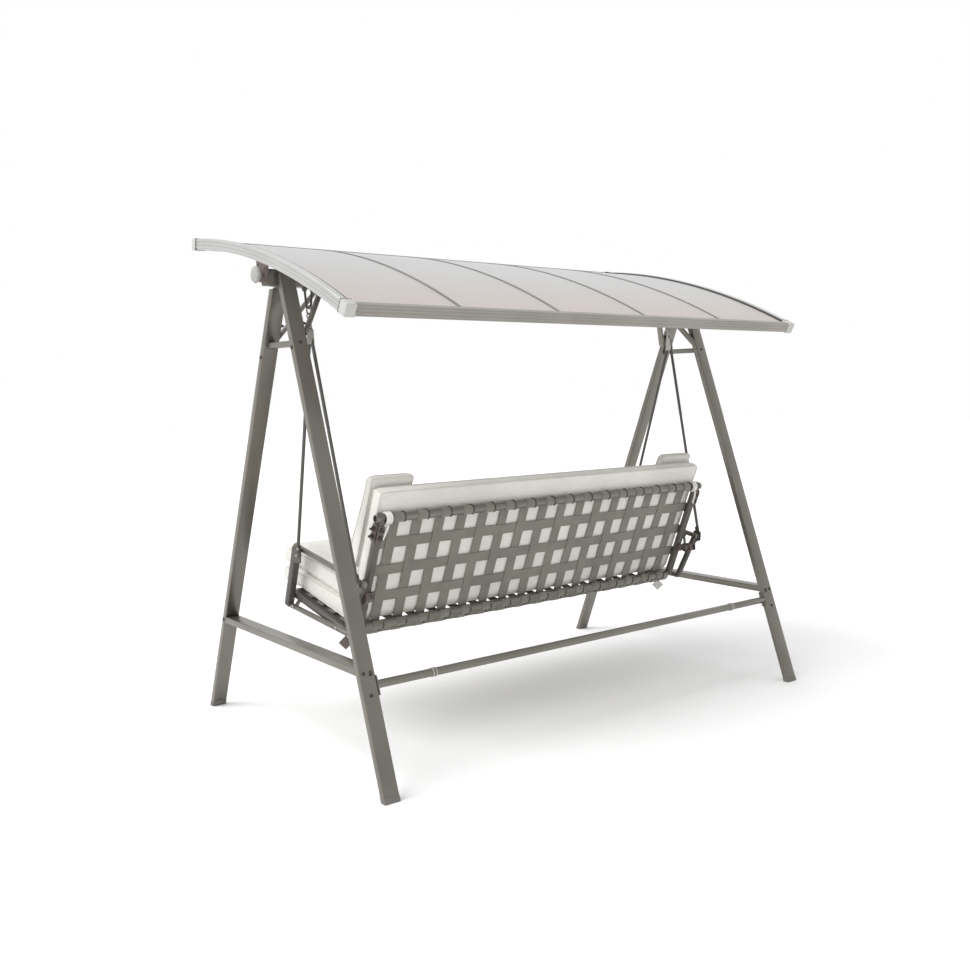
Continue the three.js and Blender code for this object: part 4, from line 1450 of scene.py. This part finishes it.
    def build_webbing(self) -> None:
        """Builds the woven seat base."""
        tilt = math.atan(self.slope)
        length = (self.rear_y - self.front_y) / math.cos(tilt)
        place = Matrix.Translation((0, self.front_y, self.z(self.front_y, 0.016))) @ Matrix.Rotation(tilt, 4, "X")
        lattice = Lattice(length, self.tube_radius, self.tube_x - 0.0165, place, 4, Body.SEAT, "seat",
                          "seat_webbing", wrap=math.radians(150))
        lattice.build()
        # Dark bands along the seat's sides as painted shade under the pads.
        lattice.build_shadow_bands()


# ---------------------------------------------------------------------------
# Back
# ---------------------------------------------------------------------------
@dataclass
class Back:
    """The reclining back frame, its webbing, corner brackets and links."""

    foot: Flat = (0.135, 0.409)
    head: Flat = (0.288, 0.797)
    half: float = 0.775
    tube_radius: float = 0.015
    bracket_gap: float = 0.0006
    clamp_up: float = 0.134
    clamp_reach: float = 0.018

    def __post_init__(self) -> None:
        """Works out the back's own directions."""
        run = Vector(self.head) - Vector(self.foot)
        self.length = run.length
        self.up = Vector((0, run.x, run.y)).normalized()
        self.out = Vector((0, -run.y, run.x)).normalized()

    def at(self, x: float, up: float, out: float) -> Vector:
        """A point on the back: across, up it, and towards the sitter."""
        return Vector((x, *self.foot)) + self.up * up + self.out * out

    def build(self) -> None:
        """Builds every hard piece of the back, and its webbing."""
        self.build_tubes()
        place = Matrix((Vector((1, 0, 0)), self.up, self.out)).transposed().to_4x4()
        place = Matrix.Translation((0, *self.foot)) @ place
        Lattice(self.length, self.tube_radius, self.half, place, 3, Body.BACK, "back", "back_webbing").build()
        for side in Side:
            self.build_corner(side)

    def build_tubes(self) -> None:
        """Builds the back's four tubes; the upper one ends in short stubs."""
        half = self.half - self.tube_radius - 0.0003
        for name, up in (("lower", 0.0), ("upper", self.length)):
            bm = bmesh.new()
            add_rod(bm, self.at(-half, up, 0), self.at(half, up, 0), self.tube_radius, 32)
            node = f"back_tube_{name}"
            finish_piece(f"{node}_bar", bm, Finish.FRAME, Body.BACK, Slot.FRAME, [node])
        for side in Side:
            bm = bmesh.new()
            x = side.value * self.half
            add_rod(bm, self.at(x, -0.002, 0), self.at(x, self.length + self.tube_radius, 0), self.tube_radius, 32)
            node = f"back_tube_{side.tag}"
            finish_piece(f"{node}_bar", bm, Finish.SIDE_TUBE, Body.BACK, Slot.FRAME, [node])

    def build_corner(self, side: Side) -> None:
        """Builds one side's corner bracket, bolts and tube end, and the recline link and clamp below them."""
        x, top, reach = self.half, self.length, self.tube_radius + self.bracket_gap
        outward = side.at(1, 0, 0)
        bm = bmesh.new()
        outline = [self.at(side.value * (x + reach), top + up, out) for up, out in
                   ((-0.016, -0.013), (-0.016, 0.012), (-0.082, 0.012), (-0.082, -0.013))]
        add_plate(bm, outline, side.at(0.003, 0, 0), 0.005)
        outline = [self.at(side.value * (x + dx), top + up, -reach) for dx, up in
                   ((0.014, -0.020), (-0.012, -0.020), (-0.012, -0.078), (0.014, -0.078))]
        add_plate(bm, outline, -self.out * 0.003, 0.004)
        finish_piece(f"corner_bracket_{side.tag}", bm, Finish.BRACKET, Body.BACK, Slot.BRACKET)

        bm = bmesh.new()
        for up in (-0.034, -0.062):
            start = self.at(side.value * (x + reach + 0.003), top + up, 0)
            add_rod(bm, start, start + outward * 0.006, 0.010, 6, 0.001)
            add_rod(bm, start, start + outward * 0.016, 0.0045, 16, 0.001)
            add_bolt(bm, self.at(side.value * x, top + up, -reach - 0.003), -self.out, 0.0075, 0.006)
        finish_piece(f"corner_bolts_{side.tag}", bm, Finish.BOLT, Body.BACK, Slot.BRACKET)

        bm = bmesh.new()
        place = facing(self.at(side.value * (x + 0.008), top, 0), self.at(side.value * (x + 1), top, 0), self.up)
        add_lathe(bm, [(0, 0.002), (0.011, 0.002), (0.0115, 0.012), (0.0128, 0.0132), (0.0145, 0.012), (0.0148, 0)],
                  place, 32)
        finish_piece(f"tube_end_{side.tag}", bm, Finish.FRAME, Body.BACK, Slot.FRAME)

        bm = bmesh.new()
        sweep = [self.at(side.value * (x + 0.017), 0.186 - 0.010 * k, -0.004 - 0.020 * math.sin(k * 0.38))
                 for k in range(6)]
        add_sweep(bm, sweep, 0.0055, segments=14)
        for end in (sweep[0], sweep[-1]):
            add_rod(bm, end - side.at(0.004, 0, 0), end + side.at(0.006, 0, 0), 0.009, 20)
        finish_piece(f"recline_link_{side.tag}", bm, Finish.HANGER, Body.BACK, Slot.HANGER)

        bm = bmesh.new()
        outline = [self.at(side.value * (x + dx), self.clamp_up + up, -reach) for dx, up in
                   ((0.013, 0.014), (-self.clamp_reach, 0.016), (-self.clamp_reach, -0.012), (0.013, -0.014))]
        add_plate(bm, outline, -self.out * 0.008, 0.004)
        for dx in (0.006, -0.009):
            add_bolt(bm, self.at(side.value * (x + dx), self.clamp_up, -reach - 0.008), -self.out, 0.006, 0.005)
        finish_piece(f"recline_clamp_{side.tag}", bm, Finish.BRACKET, Body.BACK, Slot.BRACKET)


# ---------------------------------------------------------------------------
# Cushions
# ---------------------------------------------------------------------------
@dataclass
class Cushion:
    """A boxed cushion, blown up by a short cloth simulation, with piped seams.

    outline is its section as points in its own plane, and to_space places (across, a, b).
    """

    name: str
    node: str
    outline: Sequence[Flat]
    half: float
    centre_x: float
    to_space: Callable[[float, float, float], Vector]
    body: Body
    slot: Slot
    finish: Finish
    voxel: float = 0.011
    cap: float = 0.018
    pull: float = 0.004
    inset: float = 0.003
    fill: float = 0.6
    piping: float = 0.0026
    seams: Sequence[int] = ()
    held: Sequence[int] = ()

    def shell(self) -> bpy.types.Object:
        """The cushion's plain closed shape, a little smaller than its place."""
        middle = Vector((sum(p[0] for p in self.outline), sum(p[1] for p in self.outline))) / len(self.outline)
        bm = bmesh.new()
        points = []
        for a, b in self.outline:
            away = Vector((a, b)) - middle
            shrunk = middle + away * max(0.0, 1 - self.inset / max(away.length, 1e-6))
            points.append(shrunk)
        half = self.half - self.inset
        face = bm.faces.new([bm.verts.new(self.to_space(self.centre_x - half, p.x, p.y)) for p in points])
        thicken(bm, face, self.to_space(self.centre_x + half, 0, 0) - self.to_space(self.centre_x - half, 0, 0))
        bmesh.ops.recalc_face_normals(bm, faces=bm.faces)
        bmesh.ops.bevel(bm, geom=bm.edges[:], offset=0.009, segments=3, profile=0.5, affect="EDGES", material=-1)
        mesh = bpy.data.meshes.new(self.name)
        bm.to_mesh(mesh)
        bm.free()
        piece = bpy.data.objects.new(self.name, mesh)
        bpy.context.scene.collection.objects.link(piece)
        return piece

    def remesh(self, piece: bpy.types.Object) -> None:
        """Covers the shape with even squares."""
        modifier = piece.modifiers.new("remesh", "REMESH")
        modifier.mode = "VOXEL"
        modifier.voxel_size = self.voxel
        apply_modifiers(piece)

    def inflate(self, piece: bpy.types.Object) -> None:
        """Runs the cloth, and caps how far each point may move."""
        start = [v.co.copy() for v in piece.data.vertices]
        normals = [v.normal.copy() for v in piece.data.vertices]
        modifier = piece.modifiers.new("cloth", "CLOTH")
        settings = modifier.settings
        settings.quality = 5
        settings.mass = 0.3
        settings.tension_stiffness = 25
        settings.compression_stiffness = 25
        settings.shear_stiffness = 8
        settings.bending_stiffness = 2.0
        settings.use_pressure = True
        settings.uniform_pressure_force = 4.0
        settings.effector_weights.gravity = 0.0
        modifier.collision_settings.use_collision = False
        modifier.collision_settings.use_self_collision = False
        scene = bpy.context.scene
        for number in range(1, 21):
            scene.frame_set(number)
        apply_modifiers(piece)
        scene.frame_set(1)
        for vert, rest, normal in zip(piece.data.vertices, start, normals):
            move = vert.co - rest
            out = move.dot(normal)
            slide = move - normal * out
            out = max(-self.pull, min(self.cap, out))
            if slide.length > self.pull:
                slide = slide.normalized() * self.pull
            vert.co = rest + normal * out + slide
        self.hold(piece)

    def hold(self, piece: bpy.types.Object) -> None:
        """Keeps the skin behind the section's held edges, where the cushion lies on something."""
        middle = sum((self.to_space(self.centre_x, *point) for point in self.outline), Vector()) / len(self.outline)
        for index in self.held:
            start = self.to_space(self.centre_x, *self.outline[index])
            end = self.to_space(self.centre_x, *self.outline[(index + 1) % len(self.outline)])
            away = Vector((1, 0, 0)).cross(end - start).normalized()
            if (middle - start).dot(away) > 0:
                away = -away
            for vert in piece.data.vertices:
                proud = (vert.co - start).dot(away)
                if proud > 0:
                    vert.co -= away * proud

    def build(self) -> bpy.types.Object:
        """Makes the cushion and its seams.

        Returns:
            The cushion.
        """
        piece = self.shell()
        self.remesh(piece)
        self.inflate(piece)
        modifier = piece.modifiers.new("smooth", "SMOOTH")
        modifier.iterations = 2
        modifier.factor = 0.4
        subdivide = piece.modifiers.new("fine", "SUBSURF")
        subdivide.levels = 1
        subdivide.render_levels = 1
        apply_modifiers(piece)
        for polygon in piece.data.polygons:
            polygon.use_smooth = True
        piece.data.materials.append(self.finish.material)
        settle(piece, self.body, self.slot, [self.node])
        self.build_seams(piece)
        return piece

    def build_seams(self, cushion: bpy.types.Object) -> None:
        """Lays the piping along both ends of the section and along its chosen corners."""
        if not self.seams:
            return
        tree = BVHTree.FromObject(cushion, bpy.context.evaluated_depsgraph_get())
        bm = bmesh.new()
        corners = [self.outline[k] for k in self.seams]
        for sign in (-1, 1):
            x = self.centre_x + sign * (self.half - 0.002)
            loop = []
            for first, second in zip(corners, corners[1:] + corners[:1]):
                length = math.dist(first, second)
                steps = max(2, round(length / 0.02))
                for k in range(steps):
                    share = k / steps
                    loop.append(self.to_space(x, first[0] + (second[0] - first[0]) * share,
                                              first[1] + (second[1] - first[1]) * share))
            add_sweep(bm, self.laid(tree, loop), self.piping, closed=True, segments=8)
        for a, b in corners:
            steps = round(2 * self.half / 0.03)
            line = [self.to_space(self.centre_x - self.half + 0.002 + (2 * self.half - 0.004) * k / steps, a, b)
                    for k in range(steps + 1)]
            add_sweep(bm, self.laid(tree, line), self.piping, segments=8)
        finish_piece(f"{self.name}_piping", bm, Finish.PIPING, self.body, self.slot)

    def laid(self, tree: BVHTree, points: Sequence[Vector]) -> list[Vector]:
        """Moves points onto the cushion's skin, a little proud of it."""
        found = [tree.find_nearest(point) for point in points]
        return [hit[0] + hit[1] * self.piping * 0.35 if hit[0] is not None else point
                for hit, point in zip(found, points)]


def apply_modifiers(piece: bpy.types.Object) -> None:
    """Replaces a piece's mesh with what its modifiers make of it."""
    depsgraph = bpy.context.evaluated_depsgraph_get()
    made = bpy.data.meshes.new_from_object(piece.evaluated_get(depsgraph))
    old = piece.data
    piece.modifiers.clear()
    piece.data = made
    bpy.data.meshes.remove(old)


@dataclass
class SoftGoods:
    """The cushions, pillows and ties, placed on the seat and the back."""

    seat: Seat
    back: Back
    half: float = 0.785
    pad_thick: float = 0.074
    pad_front: float = -0.428
    pad_rears: tuple[Flat, Flat] = ((0.054, 0.066), (0.067, 0.081))
    droop: float = 0.026
    back_foot: float = 0.006
    back_thick: float = 0.054
    pillow_width: float = 0.180
    pillow_thick: float = 0.052

    def on_seat(self, x: float, along: float, up: float) -> Vector:
        """A point on the seat: across, towards the rear and up from the webbing."""
        tilt = math.atan(self.seat.slope)
        return Vector((x, along * math.cos(tilt) - up * math.sin(tilt),
                       self.seat.level + along * math.sin(tilt) + up * math.cos(tilt)))

    def build(self) -> None:
        """Builds every soft piece."""
        self.build_seat_cushions()
        self.build_back_cushion()
        for side in Side:
            self.build_pillow(side)
            self.build_tie(side)
            self.build_tag(side)

    def build_seat_cushions(self) -> None:
        """Builds the two seat cushions, one on the other, drooping over the front tube."""
        edge = self.seat.front_y - self.seat.tube_radius
        for layer, name in enumerate(("lower", "upper")):
            low = 0.0037 + layer * (self.pad_thick + 0.001)
            high = low + self.pad_thick
            rear_low, rear_high = self.pad_rears[layer]
            outline = [
                (self.pad_front, low - self.droop),
                (edge - 0.035, low - 0.4 * self.droop),
                (edge, low),
                (rear_low, low),
                (rear_high, high),
                (edge, high),
                (edge - 0.035, high - 0.4 * self.droop),
                (self.pad_front, high - self.droop),
            ]
            Cushion(f"seat_pad_{name}", f"seat_cushion_{name}", outline, self.half, 0.0, self.on_seat,
                    Body.SEAT, Slot.CUSHION, Finish.CUSHION, cap=0.012, seams=(0, 3, 4, 7),
                    held=(2, 3, 4) if layer == 0 else (2, 3)).build()

    def build_back_cushion(self) -> None:
        """Builds the long back cushion."""
        rear = self.back.tube_radius + 0.0055
        front = rear + self.back_thick
        foot = self.back_foot
        outline = [(foot, rear), (foot, front - 0.012), (foot + 0.012, front), (0.506, front), (0.510, rear - 0.004),
                   (0.446, rear - 0.004), (0.432, rear)]
        Cushion("back_pad", "back_cushion", outline, self.half, 0.0, self.back.at, Body.BACK, Slot.CUSHION,
                Finish.CUSHION, cap=0.012, seams=(0, 2, 3, 4), held=(2, 6)).build()

    def build_pillow(self, side: Side) -> None:
        """Builds one end pillow, leaning on the back cushion."""
        rear = self.back.tube_radius + 0.0055 + self.back_thick + 0.001
        thick = self.pillow_thick
        outline = [(0.184, rear + 0.004), (0.182, rear + thick + 0.016), (0.530, rear + thick - 0.018),
                   (0.534, rear + 0.002)]
        outer = self.half + 0.005
        centre = side.value * (outer - self.pillow_width / 2)
        Cushion(f"end_pillow_{side.tag}", f"pillow_{side.tag}", outline, self.pillow_width / 2, centre, self.back.at,
                Body.BACK, Slot.PILLOW, Finish.PILLOW, voxel=0.008, cap=0.012, seams=(0, 1, 2, 3), held=(3,),
                fill=0.7).build()

    def build_tie(self, side: Side) -> None:
        """Builds the tape loop that ties the back cushion to the upper tube."""
        bm = bmesh.new()
        x = side.value * (self.half - 0.035)
        reach = self.back.tube_radius + 0.003
        width = 0.010
        for lane in range(3):
            turns = [math.radians(d) for d in range(-100, 176, 12)]
            offset = (lane - 1) * width * 0.8
            path = [self.back.at(x + offset, self.back.length + reach * math.sin(a), -reach * math.cos(a))
                    for a in turns]
            add_sweep(bm, path, width * 0.42, segments=10)
        tail = [self.back.at(x + side.value * (0.004 + 0.002 * k), self.back.length - 0.014 - 0.011 * k,
                             -reach - 0.002 - 0.0015 * math.sin(k)) for k in range(6)]
        add_sweep(bm, tail, 0.0042, segments=10)
        finish_piece(f"cushion_tie_{side.tag}", bm, Finish.TIE, Body.BACK, Slot.CUSHION)

    def build_tag(self, side: Side) -> None:
        """Builds the small blank cloth tab that hangs under the seat's rear corner."""
        bm = bmesh.new()
        x, y, z, reach = 0.788, 0.062, 0.345, 0.025
        outline = [side.at(x, y, z) + Vector((0.8, -0.6, 0)) * reach * math.sin(a) + Vector((0, 0, reach * math.cos(a)))
                   for a in [math.radians(90 * k) for k in range(4)]]
        add_plate(bm, outline, Vector((0.0009, 0.0012, 0)), 0.002)
        top = side.at(x, y, z) + Vector((0, 0, reach - 0.001))
        add_sweep(bm, [top, top + Vector((0, 0.001, 0.006)), top + Vector((0, 0.003, 0.014))], 0.001, segments=8)
        finish = Finish.BRACKET if side is Side.LEFT else Finish.TIE
        finish_piece(f"corner_tab_{side.tag}", bm, finish, Body.SEAT, Slot.CUSHION)


# ---------------------------------------------------------------------------
# Studio
# ---------------------------------------------------------------------------
@dataclass
class Studio:
    """The camera, the floor and soft light."""

    place: Point = (2.543, 3.121, 1.214)
    azimuth: float = math.radians(142.16)
    elevation: float = math.radians(5.38)
    roll: float = math.radians(-0.82)
    lens: float = 38.04
    sensor: float = 36.0

    def build_camera(self) -> None:
        """Makes the scene's camera."""
        a, e = self.azimuth, self.elevation
        back = Vector((math.sin(a) * math.cos(e), -math.cos(a) * math.cos(e), math.sin(e)))
        right = (-back).cross(Vector((0, 0, 1))).normalized()
        up = right.cross(-back)
        c, s = math.cos(self.roll), math.sin(self.roll)
        turned_right = right * c + up * s
        turned_up = up * c - right * s
        data = bpy.data.cameras.new("camera")
        data.lens = self.lens
        data.sensor_width = self.sensor
        camera = bpy.data.objects.new("camera", data)
        turn = Matrix((turned_right, turned_up, back)).transposed().to_4x4()
        camera.matrix_world = Matrix.Translation(self.place) @ turn
        bpy.context.scene.collection.objects.link(camera)
        bpy.context.scene.camera = camera

    def build_floor(self) -> None:
        """Makes the pale floor."""
        bm = bmesh.new()
        bmesh.ops.create_grid(bm, x_segments=2, y_segments=2, size=30.0)
        mesh = bpy.data.meshes.new("floor")
        bm.to_mesh(mesh)
        bm.free()
        floor = bpy.data.objects.new("floor", mesh)
        graph = Graph("floor_paper")
        graph.join(graph.ramp(graph.noise(graph.coords(), 0.6), (0.93, 0.93, 0.93), (0.95, 0.95, 0.95), 0.3, 0.7),
                   graph.shader.inputs["Base Color"])
        graph.fix({"Roughness": 0.9, "Specular IOR Level": 0.1})
        mesh.materials.append(graph.material)
        bpy.context.scene.collection.objects.link(floor)

    def build_light(self) -> None:
        """Makes the surround, white in front of the camera and dimmer behind it, and a broad soft sun."""
        world = bpy.data.worlds.new("studio")
        world.use_nodes = True
        tree = world.node_tree
        ground = tree.nodes["Background"]
        ground.inputs["Color"].default_value = (1, 1, 1, 1)
        coords = tree.nodes.new("ShaderNodeTexCoord")
        facing_back = tree.nodes.new("ShaderNodeVectorMath")
        facing_back.operation = "DOT_PRODUCT"
        facing_back.inputs[1].default_value = (0.42, 0.9, 0.1)
        fade = tree.nodes.new("ShaderNodeMapRange")
        fade.interpolation_type = "SMOOTHSTEP"
        for key, value in (("From Min", -0.35), ("From Max", 0.75), ("To Min", 1.0), ("To Max", 0.75)):
            fade.inputs[key].default_value = value
        tree.links.new(coords.outputs["Generated"], facing_back.inputs[0])
        tree.links.new(facing_back.outputs["Value"], fade.inputs["Value"])
        tree.links.new(fade.outputs["Result"], ground.inputs["Strength"])
        bpy.context.scene.world = world
        data = bpy.data.lights.new("sun", "SUN")
        data.energy = 2.1
        data.angle = math.radians(45)
        lamp = bpy.data.objects.new("sun", data)
        lamp.rotation_mode = "QUATERNION"
        lamp.rotation_quaternion = Vector((0.68, -0.12, 0.72)).to_track_quat("Z", "Y")
        bpy.context.scene.collection.objects.link(lamp)

    def build(self) -> None:
        """Makes the whole studio."""
        self.build_floor()
        self.build_light()
        bpy.context.scene.view_settings.view_transform = "Standard"


def main() -> None:
    """Builds the swing and its studio."""
    logging.basicConfig(level=logging.INFO, format="%(message)s")
    studio = Studio()
    studio.build_camera()
    Stand().build()
    Canopy().build()
    seat, back = Seat(), Back()
    seat.build()
    back.build()
    SoftGoods(seat, back).build()
    studio.build()


if __name__ == "__main__":
    main()
